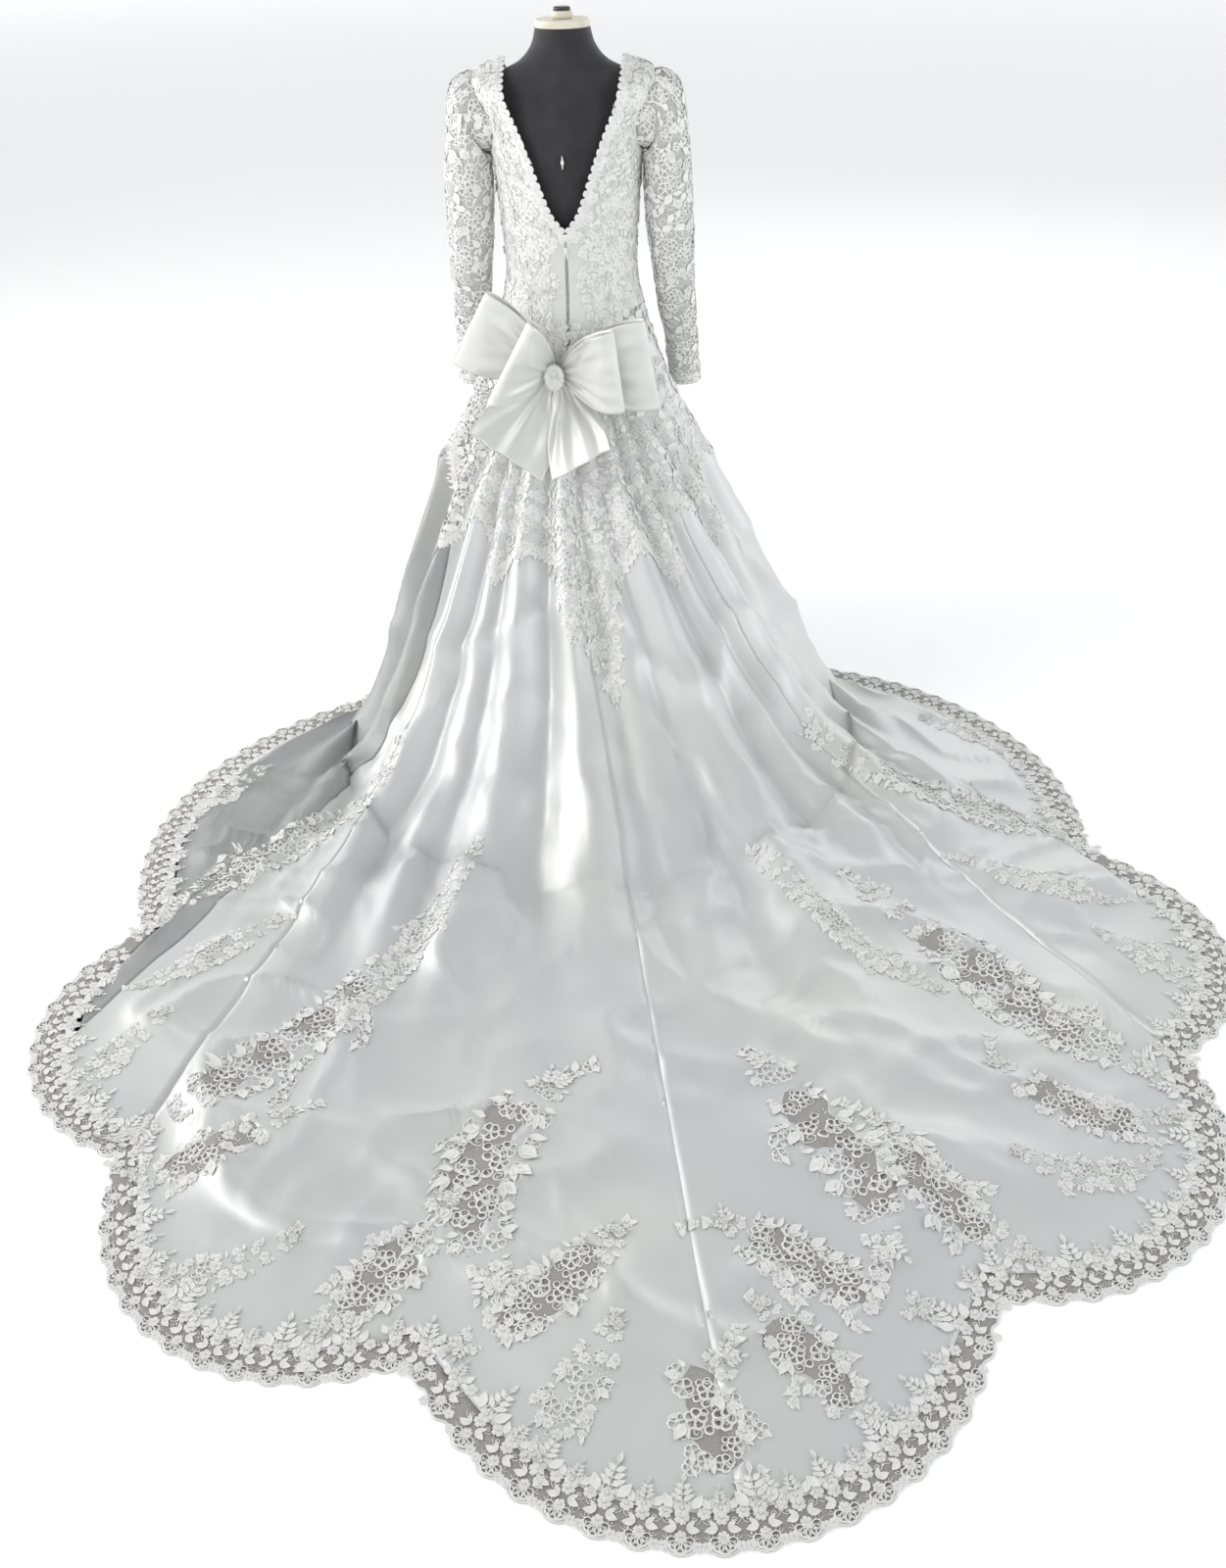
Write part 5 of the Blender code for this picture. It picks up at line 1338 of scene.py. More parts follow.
def make_border(name, lobe, stuff, seed):
    """Net strip, scalloped cords, flowers and leaf sprays of one lobe's hem lace."""
    rng = random.Random(seed)
    points, normals = border_line(lobe, 240)
    lengths = np.concatenate(([0], np.cumsum(np.linalg.norm(np.diff(points, axis=0), axis=1))))
    waves = max(4, round(lengths[-1] / 0.056))
    net = Piece()
    lace = Lace()
    ground = Floor(0.0012)
    rows = (0.0, 0.3, 0.6, 0.85, 1.0)
    count = waves * 10

    def station(place):
        """Outer hem point and outward direction at a place in waves along the lobe."""
        along = np.clip(place / waves, 0, 1) * lengths[-1]
        point = np.array([np.interp(along, lengths, points[:, k]) for k in (0, 1)])
        normal = unit(np.array([np.interp(along, lengths, normals[:, k]) for k in (0, 1)]))
        return point, normal

    grid = np.zeros((len(rows), count + 1, 3))
    for k in range(count + 1):
        place = k / 10
        point, normal = station(place)
        scallop = SCALLOP * (0.5 + 0.5 * math.cos(2 * math.pi * place)) ** 1.5
        edge = point - normal * scallop
        inner = point - normal * (BORDER - 0.0010)
        for j, share in enumerate(rows):
            spot = inner + (edge - inner) * share
            grid[j, k] = spot[0], spot[1], 0.0011
    low = grid.copy()
    low[..., 2] = 0.0003
    item = shell(f"{name}_net", grid, low, stuff["window_net"])
    for place in np.arange(0.5, waves, 1.0):
        point, normal = station(place)
        heading = math.atan2(normal[1], normal[0])
        x, y = point
        across = np.array((-normal[1], normal[0]))
        for turn in (-1.15, -0.58, 0.0, 0.58, 1.15):
            direction = np.array((math.cos(heading + turn), math.sin(heading + turn)))
            root = point - normal * 0.0235 + direction * 0.004
            lace.stamp("open_petal", ground, root[1], root[0], heading + turn, 0.0190 - 0.0030 * abs(turn))
            spot = point - normal * 0.0235 + direction * 0.0145
            lace.stamp("pearl", ground, spot[1], spot[0], 0.0, 0.0014)
        for side in (-1, 1):
            spot = point - normal * 0.0125 + across * side * 0.0215
            lace.stamp("flower5", ground, spot[1], spot[0], heading, 0.0078)
            spot = point - normal * 0.0265 + across * side * 0.0165
            lace.stamp("scroll", ground, spot[1], spot[0], heading + side * 0.6, 0.0048, flip=side > 0)
        root = point - normal * 0.0245
        lace.blossom(ground, root[1], root[0], 0.0085, rng)
        for side in (-1, 1):
            root = point - normal * 0.034 + across * side * 0.006
            lace.stamp("leaf", ground, root[1], root[0], heading + math.pi - side * 0.75, 0.017)
            lace.stamp("wide_leaf", ground, root[1], root[0], heading + side * 1.45, 0.018)
            root = point - normal * 0.046 + across * side * 0.017
            lace.stamp("scroll", ground, root[1], root[0], heading + side * 1.1, 0.0058, flip=side > 0)
        root = point - normal * 0.049
        lace.blossom(ground, root[1], root[0], 0.0105, rng)
        for _ in range(2):
            root = point - normal * rng.uniform(0.012, 0.054) + across * rng.uniform(-0.026, 0.026)
            lace.stamp("pearl", ground, root[1], root[0], 0.0, rng.uniform(0.0011, 0.0016))
    path = []
    for k in range(count + 1):
        point, normal = station(k / 10)
        scallop = SCALLOP * (0.5 + 0.5 * math.cos(2 * math.pi * k / 10)) ** 1.5
        path.append(point - normal * (scallop + 0.0016))
    cord, cord_faces = cord_part(path, 0.0030, 0.0014)
    cord[:, 2] += 0.0012
    lace.add(cord, cord_faces)
    high = Floor(SATIN + 0.0003)
    for place in np.arange(0.5, waves, 1.0):
        point, normal = station(place)
        heading = math.atan2(normal[1], normal[0]) + math.pi
        across = np.array((-normal[1], normal[0]))
        tall = (0.030, 0.017, 0.040, 0.021)[int(place) % 4]
        root = point - normal * (BORDER + 0.002)
        lace.stamp("spray", high, root[1], root[0], heading, tall + 0.012)
        lace.blossom(high, root[1], root[0], 0.012, rng, 0.0004)
        for side in (-1, 1):
            root = point - normal * (BORDER + 0.001) + across * side * 0.014
            lace.stamp("wide_leaf", high, root[1], root[0], heading - side * 0.5, 0.012 + tall * 0.35)
            lace.stamp("leaf", high, root[1], root[0], heading + side * 0.5, 0.014)
            root = point - normal * (BORDER + tall * 0.5) + across * side * 0.009
            lace.blossom(high, root[1], root[0], 0.0080, rng, 0.0004)
        edge = point - normal * (BORDER - 0.002) + across * 0.028
        lace.blossom(high, edge[1], edge[0], 0.010, rng, 0.0004)
    trim = lace.build(name, [stuff["lace"], stuff["pearl"]])
    node = name.replace("hem_", "hem_lace_", 1)
    finish_piece(item, node, node)
    finish_piece(trim, node)
    return item, trim


NET_LAP = 0.006          # the windows' net reaches this far under the satin
GORES = (
    ("train_left", -17, 0),
    ("train_right", 0, 17),
    ("skirt_side_left", -35, -17),
    ("skirt_side_right", 17, 35),
    ("skirt_front", 35, 63),
)


def make_gores(grid, stuff):
    """Satin gores of skirt and train, the train's with windows behind its lace."""
    outer = grid.points
    inner = outer - grid.normals * CLOTH
    inner[..., 2] = np.maximum(inner[..., 2], SATIN - CLOTH)
    blobs = window_blobs()
    made, nets = {}, {}
    for name, first, last in GORES:
        columns = np.arange(column_of(first), column_of(last) + 1) % outer.shape[1]
        front, back = outer[:, columns], inner[:, columns]
        if not name.startswith("train"):
            made[name] = shell(name + "_satin", front, back, stuff["satin"])
        else:
            field = np.full(front.shape[:2], 1.0)
            for x, y, size in blobs:
                away = np.hypot(front[..., 0] - x, front[..., 1] - y)
                turn = np.arctan2(front[..., 1] - y, front[..., 0] - x)
                edge = size * (1 + 0.16 * np.sin(3 * turn + 40 * x))
                field = np.minimum(field, np.where(front[..., 2] < 0.25, away - edge, 1.0))
            field[np.abs(field) < 1e-5] = 1e-5
            made[name] = cut_shell(name + "_satin", front, back, field, stuff["satin"])
            normals = grid.normals[:, columns]
            under = NET_LAP - field
            under[np.abs(under) < 1e-5] = 1e-5
            net = cut_shell(name + "_net", front - normals * 0.0003, front - normals * 0.0008, under,
                            stuff["window_net"])
            nets[name] = finish_piece(net, name)
        finish_piece(made[name], name, name)
    return made, nets


def make_train_lace(grid, finder, stuff):
    """The appliques' flowers, leaves and scrolls, split between the train's two halves and sides."""
    pieces = {name: Lace() for name in ("train_left", "train_right")}
    rng = random.Random(SEED + 1)
    for points, half, cut in APPLIQUES:
        middle = sum(point[0] for point in points) / len(points)
        decorate(pieces["train_left" if middle < 0 else "train_right"], finder, grid, points, half, rng, cut)
    motifs = [node for node in frame["nodes"] if node.startswith("lace_motif")]
    made = {}
    for name, piece in pieces.items():
        item = piece.build(name + "_lace", [stuff["lace"], stuff["pearl"]])
        side = name.split("_")[1]
        nodes = [node for node in motifs if node.endswith(side) or (node.endswith("centre") and side == "right")]
        made[name] = finish_piece(item, name, *nodes)
    return made


# Spacing, size and number of tries of the motifs on the upper skirt, by the first word of the gore's name.
UPPER_LACE = {"train": (0.0124, 0.0110, 12000), "skirt": (0.0190, 0.0152, 7000)}


def tip_height(cell):
    """Lower edge of the lace on the upper skirt, in pointed scallops."""
    for (a, low), (b, high) in zip(LACE_TIPS, LACE_TIPS[1:]):
        if a <= cell <= b:
            share = (cell - a) / (b - a)
            share = 0.5 - 0.5 * math.cos(math.pi * share)
            return low + (high - low) * share
    return LACE_TIPS[0][1]


def make_upper_lace(grid, stuff):
    """Dense lace that runs from the waist down the gores to pointed ends."""
    made = {}
    for name, first, last in GORES:
        lace = Lace()
        limits = (column_of(first), column_of(last))

        def allowed(row, col, place):
            cell = (col / VISUAL_SPLIT) - HALF_CELLS
            cell = (cell + HALF_CELLS) % (2 * HALF_CELLS) - HALF_CELLS
            return place[2] > tip_height(cell) + 0.012 and row > 0.6

        dense, size, tries = UPPER_LACE[name.split("_")[0]]
        fill_lace(lace, grid, dense, SEED + first, allowed, tries, size,
                  rows=(0.6, FALL_COUNT * 0.75), cols=limits)
        rng = random.Random(SEED + first + 100)
        cells = np.arange(first + 0.35, last, 0.55)
        for cell in cells:
            here = (cell + HALF_CELLS) % (2 * HALF_CELLS) - HALF_CELLS
            col = column_of(cell)
            heights = grid.points[:FALL_COUNT, int(round(col)) % grid.points.shape[1], 2]
            slope = (tip_height(here + 0.3) - tip_height(here - 0.3)) / 0.6
            row = float(np.interp(-tip_height(here), -heights, np.arange(FALL_COUNT)))
            angle = -math.pi / 2 + math.atan(slope / 0.012) * 0.55
            lace.stamp("leaf", grid, row, col, angle - 0.5, rng.uniform(0.016, 0.022))
            lace.stamp("wide_leaf", grid, row, col, angle + 0.5, rng.uniform(0.014, 0.020))
            lace.blossom(grid, row - 0.35, col, rng.uniform(0.009, 0.012), rng)
        for cell, height in LACE_TIPS:
            if first <= cell <= last or first <= cell + 2 * HALF_CELLS <= last:
                col = column_of(cell)
                heights = grid.points[:FALL_COUNT, int(round(col)) % grid.points.shape[1], 2]
                row = float(np.interp(-height, -heights, np.arange(FALL_COUNT)))
                lace.stamp("spray", grid, row, col, -math.pi / 2, 0.034)
                lace.blossom(grid, row - 0.3, col, 0.014, rng)
        item = lace.build(name + "_top_lace", [stuff["lace"], stuff["pearl"]])
        made[name] = finish_piece(item, name)
    return made


# The bodice and sleeves.

def bodice_grids():
    """(azimuth, height) grids of the bodice panels, rows up and columns to the right."""
    upper_arm = [armhole(90 - 90 * i / QUARTER) for i in range(1, QUARTER + 1)]
    front_arm = [(180 - azimuth, height) for azimuth, height in upper_arm]
    foot = azimuth_of(ZIP_HALF, WAIST_POINT)
    zip_foot = (foot, waist_height(foot))
    zip_head = (azimuth_of(ZIP_HALF, V_POINT), V_POINT)
    zip_rows, neck_rows = 4, ROWS_UP + QUARTER - 4
    centre = line(zip_foot, zip_head, zip_rows)
    for i in range(1, neck_rows + 1):
        height = mix(V_POINT, NECK_SHOULDER, i / neck_rows)
        centre.append((azimuth_of(smooth_value(BACK_NECK, height, 1), height), height))
    centre[-1] = (90.0, NECK_SHOULDER)
    side = princess(BACK_PRINCESS, 90) + upper_arm
    top = line((90.0, NECK_SHOULDER), (90.0, SHOULDER_TIP), BACK_CELLS)
    waist = waist_line(zip_foot[0], BACK_PRINCESS, BACK_CELLS)
    waist[0] = zip_foot
    back = patch(centre, side, waist, top)

    side_seam = line((90, waist_height(90)), armhole(180), ROWS_UP)
    arm_low = [armhole(90 + 90 * i / QUARTER) for i in range(QUARTER + 1)]
    side_back = patch(princess(BACK_PRINCESS, 90), side_seam, waist_line(BACK_PRINCESS, 90, QUARTER), arm_low)

    seam_front = princess(FRONT_PRINCESS, 270)
    arm_front = [armhole(180 + 90 * i / QUARTER) for i in range(QUARTER + 1)]
    side_front = patch(side_seam, seam_front, waist_line(90, FRONT_PRINCESS, QUARTER), arm_front)

    near = seam_front + front_arm
    far = [(360 - azimuth, height) for azimuth, height in near]
    neck = [(90.0, NECK_SHOULDER)] + [(180 - azimuth_of(half, height), height) for height, half in FRONT_NECK]
    neck += [(360 - azimuth, height) for azimuth, height in reversed(neck[:-1])]
    shoulder_run = line((90.0, SHOULDER_TIP), (90.0, NECK_SHOULDER), BACK_CELLS)
    other_run = [(360 - azimuth, height) for azimuth, height in reversed(shoulder_run)]
    front_top = shoulder_run[:-1] + neck + other_run[1:]
    front_waist = waist_line(FRONT_PRINCESS, 360 - FRONT_PRINCESS, len(front_top) - 1)
    front = patch(near, far, front_waist, front_top)
    return {"back": back, "side_back": side_back, "side_front": side_front, "front": front}


def finer(points, times_down, times_across):
    """Grid with more rows and columns, on smooth curves through its own points."""
    values = np.array(points, float)
    for axis, times in ((0, times_down), (1, times_across)):
        count = values.shape[axis]
        places = np.linspace(0, count - 1, (count - 1) * times + 1)
        low = np.clip(places.astype(int), 0, count - 2)
        share = places - low
        share = share[:, None, None] if axis == 0 else share[None, :, None]
        before, start, end, after = (np.take(values, np.clip(low + k, 0, count - 1), axis) for k in (-1, 0, 1, 2))
        slope_in, slope_out = (end - before) / 2, (after - start) / 2
        bend = 2 * start - 2 * end + slope_in + slope_out
        turn = 3 * end - 3 * start - 2 * slope_in - slope_out
        values = ((bend * share + turn) * share + slope_in) * share + start
    return values


def tucked(points, amount):
    """Grid with its outer ring of points drawn in a little."""
    moved = points.copy()
    for first, second in (((0,), (1,)), ((-1,), (-2,))):
        moved[first] += unit(points[second] - points[first]) * amount
        moved[:, first[0]] += unit(points[:, second[0]] - points[:, first[0]]) * amount
    return moved


def make_panels(stuff):
    """Bodice panels with their lace; the back ones leave smooth satin beside the zip."""
    made = {}
    splits = {"back": (6, 6), "side_back": (6, 5), "side_front": (6, 5), "front": (5, 4)}
    spacing = {"back": 0.0090, "side_back": 0.0101, "side_front": 0.0140, "front": 0.0160}
    for kind, rows in bodice_grids().items():
        right_outer, right_inner = (finer([[gown_point(azimuth, height, out) for azimuth, height in row]
                                           for row in rows], *splits[kind]) for out in (GOWN, GOWN - CLOTH))
        sides = (("right", 1.0), ("left", -1.0)) if kind != "front" else (("", 1.0),)
        for side, sign in sides:
            name = "_".join(word for word in ("bodice", kind, side) if word)
            outer, inner = right_outer.copy(), right_inner.copy()
            if sign < 0:
                outer, inner = outer[:, ::-1] * (-1, 1, 1), inner[:, ::-1] * (-1, 1, 1)
            outer, inner = tucked(outer, 0.0002)[::-1], tucked(inner, 0.0002)[::-1]
            item = shell(name + "_cloth", outer, inner, stuff["satin"] if kind == "back" else stuff["ground"])
            finish_piece(item, name, name)
            grid = Grid(outer)
            lace = Lace()
            low, wide = outer.shape[0] - 1, outer.shape[1] - 1

            def allowed(row, col, place):
                if min(row, low - row, col, wide - col) < 0.35:
                    return False
                if kind != "back":
                    return True
                smooth = 0.030 + 0.010 * math.sin(place[2] * 60 + 1.0)
                return abs(place[0]) > smooth or place[2] > V_POINT + 0.04 or place[2] < 0.93

            fill_lace(lace, grid, spacing[kind], SEED + len(made) * 17, allowed, 6000,
                      0.0094 if kind.endswith("back") else 0.0130)
            if kind == "back":
                edge = outer[:, 0] if sign > 0 else outer[:, -1]
                trim_neckline(lace, grid, 0 if sign > 0 else wide, edge, SEED + 31)
            trim = finish_piece(lace.build(name + "_lace", [stuff["lace"], stuff["pearl"]]), name)
            made[name] = (item, trim)
    return made


def trim_neckline(lace, grid, col, edge, seed):
    """Scalloped petals and flowers along the V of the back."""
    rng = random.Random(seed)
    step, last = 0.0160, None
    outward = math.pi if col == 0 else 0.0
    for row in np.arange(0, len(edge) - 1, 0.25):
        place, _ = grid.at(np.array([row]), np.array([float(col)]))
        if place[0][2] < V_POINT - 0.004:
            break
        if last is not None and np.linalg.norm(place[0] - last) < step:
            continue
        last = place[0]
        for swerve in (-1.0, -0.5, 0.0, 0.5, 1.0):
            lace.stamp("petal", grid, row, col, outward + swerve, 0.0112 - 0.0016 * abs(swerve))
        inward = 1.0 if col == 0 else -1.0
        lace.blossom(grid, row, col + inward * 0.5, 0.0085, rng, 0.0012)
        lace.blossom(grid, row + 0.9, col + inward * 1.2, 0.0075, rng, 0.0010)


def sleeve_grids(side):
    """Outer and inner grids of a sleeve, rows down and columns round it."""
    sides, between = 64, 6
    grids = []
    hole = []
    for i in range(sides):
        hole.append(np.array(gown_point(*armhole(360 * i / sides), GOWN + 0.0008)))
    middle = sum(hole) / sides
    for cut in (0.0, CLOTH):
        rows = []
        near = []
        for i, point in enumerate(hole):
            face = np.array(gown_point(*armhole(360 * i / sides), GOWN + 0.01)) - point
            face /= np.linalg.norm(face)
            toward = unit(middle - point - face * np.dot(middle - point, face))
            near.append(point + toward * (SLEEVE_SET + cut))
        first_ring = []
        for place in (0.0,):
            x, y, z, tilt, half, deep = SLEEVE[0]
            lean = math.radians(tilt)
            across = np.array((math.cos(lean), 0, math.sin(lean)))
            for i in range(sides):
                angle = math.radians(360 * i / sides)
                first_ring.append(np.array((x, y, z)) + across * (half - cut) * math.cos(angle)
                                  + np.array((0, -1, 0)) * (deep - cut) * math.sin(angle))
        for k in range(8):
            share = k / 8
            rows.append([p * (1 - share) + q * share for p, q in zip(near, first_ring)])
        table = [(k, *row) for k, row in enumerate(SLEEVE)]
        for place in np.arange(0, (len(SLEEVE) - 1) * between + 1) / between:
            x, y, z, tilt, half, deep = (smooth_value(table, place, k) for k in range(1, 7))
            lean = math.radians(tilt)
            ring = []
            for i in range(sides):
                angle = math.radians(360 * i / sides)
                fade = ease(place / 1.0) * ease((len(SLEEVE) - 1 - place) / 0.3)
                wave = noise.noise((math.cos(angle) * 1.1, math.sin(angle) * 1.1, z * 13 + side * 5))
                crease = noise.noise((math.cos(angle) * 0.8 + z * 6, math.sin(angle) * 0.8, z * 32))
                puff = (0.0022 * wave + 0.0013 * crease) * fade
                across = np.array((math.cos(lean), 0, math.sin(lean)))
                ring.append(np.array((x, y, z)) + across * (half - cut + puff) * math.cos(angle)
                            + np.array((0, -1, 0)) * (deep - cut + puff) * math.sin(angle))
            rows.append(ring)
        grid = np.array(rows)
        grid[..., 0] *= side
        grids.append(grid if side < 0 else grid[:, ::-1])
    return grids


def make_sleeves(stuff):
    made = {}
    for name, side in (("sleeve_right", 1), ("sleeve_left", -1)):
        outer, inner = sleeve_grids(side)
        item = finish_piece(shell(name + "_net", outer, inner, stuff["net"], closed=True), name, name)
        grid = Grid(outer, closed=True)
        lace = Lace()
        last = outer.shape[0] - 1

        def allowed(row, col, place):
            return 0.6 < row < last - 0.8

        fill_lace(lace, grid, 0.0158, SEED + 57 + side, allowed, 9000, 0.0144)
        rng = random.Random(SEED + side)
        for col in np.arange(0, outer.shape[1], 3.6):
            for swerve in (-0.7, 0.0, 0.7):
                lace.stamp("petal", grid, last - 0.5, col, -math.pi / 2 + swerve, 0.0075)
            lace.blossom(grid, last - 1.0, col, 0.0065, rng)
        trim = finish_piece(lace.build(name + "_lace", [stuff["lace"], stuff["pearl"]]), name)
        made[name] = (item, trim)
    return made


# The bow.

def loop_grids(direction, length, tip, slant, depth, step, tip_back, seed):
    """Outer and inner grids of a bow loop: rows along the band, columns across it."""
    out, across = (np.array(v) for v in bow_axes(direction))
    knot = np.array(BOW_KNOT)
    rows, cols = 61, 31
    outer, inner = np.zeros((rows, cols, 3)), np.zeros((rows, cols, 3))
    for j in range(rows):
        run = 2 * j / (rows - 1) - 1
        share = math.cos(math.pi / 2 * abs(run))
        face = np.sign(run)
        open_half = LOOP_ROOT * abs(run) + depth / 2 * math.sin(math.pi * abs(run))
        middle = BOW_Y + step * LOOP_STEP + tip_back * math.sin(math.pi / 2 * share)
        for i in range(cols):
            v = 2 * i / (cols - 1) - 1
            half = bow_half(tip, share)
            fold = math.cos(5 * math.pi * v + seed) * 0.0024 * (1 - share) ** 0.7
            ray = noise.noise((v * 3.2 / (0.35 + share), seed * 3.1 + face * 7, share * 1.2))
            soft = noise.noise((v * 1.4, share * 3.4, seed * 5.3 + face * 3))
            gather = fold + (0.0125 * ray * math.sin(math.pi * min(1.0, share * 1.1 + 0.1)) + 0.0065 * soft * share)
            reach = LOOP_START + (length - LOOP_START) * share + slant * v * half * share
            bulge = open_half + gather * (1.0 if abs(run) > 0.06 else abs(run) / 0.06)
            bulge = max(bulge, CLOTH)
            for grid, cut in ((outer, 0.0), (inner, CLOTH)):
                y = middle + face * (bulge - cut)
                grid[j, i] = knot + out * (reach - cut * share) + across * half * v + np.array((0, y, 0))
    return outer, inner


def tail_grids(direction, length, tip, slant, root_y, tip_back, seed):
    out, across = (np.array(v) for v in bow_axes(direction))
    knot = np.array(BOW_KNOT)
    rows, cols = 49, 37
    outer, inner = np.zeros((rows, cols, 3)), np.zeros((rows, cols, 3))
    for j in range(rows):
        share = j / (rows - 1)
        for i in range(cols):
            v = 2 * i / (cols - 1) - 1
            half = bow_half(tip, share)
            reach = mix(TAIL_START, length, share) + slant * v * half * share
            ripple = 0.003 * math.cos(2.6 * math.pi * v) * share
            ray = noise.noise((v * 3.0 / (0.4 + share), seed * 2.3, share * 1.5))
            bulge = -0.004 * math.sin(math.pi * share) * (1 - v * v) + 0.0100 * ray * ease(share * 3)
            bulge += 0.0014 * math.cos(6 * math.pi * v) * (1 - share)
            for grid, cut in ((outer, 0.0), (inner, CLOTH)):
                y = root_y + tip_back * share ** TAIL_CURVE + ripple + bulge + cut
                grid[j, i] = knot + out * reach + across * half * v + np.array((0, y, 0))
    return outer, inner


def make_bow(stuff):
    made = {}
    for k, (name, *sizes) in enumerate(BOW_LOOPS):
        outer, inner = loop_grids(*sizes, k + 1)
        made[name] = finish_piece(shell(name + "_satin", outer, inner, stuff["bow"]), name, name)
    for k, (name, *sizes) in enumerate(BOW_TAILS):
        outer, inner = tail_grids(*sizes, k + 1)
        made[name] = finish_piece(shell(name + "_satin", outer, inner, stuff["bow"]), name, name)
    around, tube = 96, 20
    knot = np.zeros((around, tube, 3))
    centre = np.array(BOW_KNOT) + np.array((0, KNOT_Y, 0))
    for i in range(around):
        turn = 2 * math.pi * i / around
        radial = np.array((math.sin(turn), 0, math.cos(turn)))
        middle = centre + np.array((KNOT_WIDE * math.sin(turn), 0, KNOT_TALL * math.cos(turn)))
        size = KNOT_TUBE * (0.92 + 0.07 * math.sin(15 * turn) + 0.07 * noise.noise((turn * 3, 1.0, 5.0)))
        for k in range(tube):
            roll = 2 * math.pi * k / tube
            pleat = 1 + 0.05 * math.sin(3 * roll + 7 * turn)
            knot[i, k] = middle + radial * size * pleat * math.cos(roll)
            knot[i, k, 1] += size * pleat * 0.8 * math.sin(roll)
    piece = Piece()
    faces = []
    for i, k in itertools.product(range(around), range(tube)):
        a, b = (i + 1) % around, (k + 1) % tube
        faces.append((i * tube + k, i * tube + b, a * tube + b, a * tube + k))
    piece.add(knot.reshape(-1, 3), np.array(faces))
    made["bow_knot"] = finish_piece(piece.build("bow_knot_satin", [stuff["bow"]]), "bow_knot", "bow_knot")
    plate = np.zeros((9, 7, 3))
    for j, i in itertools.product(range(9), range(7)):
        z, x = 1 - j / 4, i / 3 - 1
        wide = math.sqrt(max(0.0, 1 - 0.55 * z * z))
        plate[j, i] = centre + np.array((x * 0.0085 * wide, -0.0035 - 0.003 * (1 - x * x) * (1 - z * z), z * 0.0175))
    lace = Lace()
    fill_lace(lace, Grid(plate), 0.0048, 5, lambda row, col, place: True, 300, 0.0052)
    under = plate + np.array((0, 0.001, 0))
    item = finish_piece(shell("bow_centre_net", plate, under, stuff["ground"]), "bow_knot")
    trim = finish_piece(lace.build("bow_centre_lace", [stuff["lace"], stuff["pearl"]]), "bow_knot")
    return made, (item, trim)


# The zip, the dress form and the studio.

def make_zip(stuff):
    """Coil with its teeth, the slider and the pull tab, which rides the tab's body."""
    nodes = frame["nodes"]
    low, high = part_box("zip_coil")
    tape = nodes["zip_coil"]
    tape.data.materials.clear()
    tape.data.materials.append(stuff["coil"])
    points = np.array([v.co for v in tape.data.vertices])
    teeth = Piece()
    count = int((high[2] - low[2]) / 0.0022)
    for k in range(count):
        z = low[2] + 0.002 + k * 0.0022
        near = points[np.argsort(np.abs(points[:, 2] - z))[:8]]
        y = float(np.interp(z, *profile(points)))
        side = 1 if k % 2 else -1
        ring = []
        for turn in np.linspace(0, 2 * math.pi, 8, endpoint=False):
            ring.append((side * 0.0007 + 0.0013 * math.cos(turn), y - 0.0001, z + 0.0006 * math.sin(turn)))
        ring = np.array(ring)
        top = ring * (0.8, 1, 1) + (0, -0.0006, 0)
        both = np.concatenate([ring, top, [(side * 0.0005, y - 0.0008, z)]])
        faces = []
        for a in range(8):
            b = (a + 1) % 8
            faces += [(a, b, 8 + b), (a, 8 + b, 8 + a), (8 + a, 8 + b, 16)]
        teeth.add(both, np.array(faces))
    item = teeth.build("zip_teeth", [stuff["coil"]])
    finish_piece(item, "zip_coil")
    made = []
    for name, body, grown in (("zip_slider", BODY, 0.0), ("zip_tab", "pull_tab", 0.0)):
        low, high = (np.array(v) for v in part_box(name))
        made.append(metal_plate(name, low, high, stuff["enamel"], body))
    return made


def profile(points):
    """Heights and depths of the outer face of the coil, for reading between."""
    heights = np.unique(np.round(points[:, 2], 5))
    depths = [points[np.abs(points[:, 2] - z) < 1e-4][:, 1].min() for z in heights]
    return heights, np.array(depths)


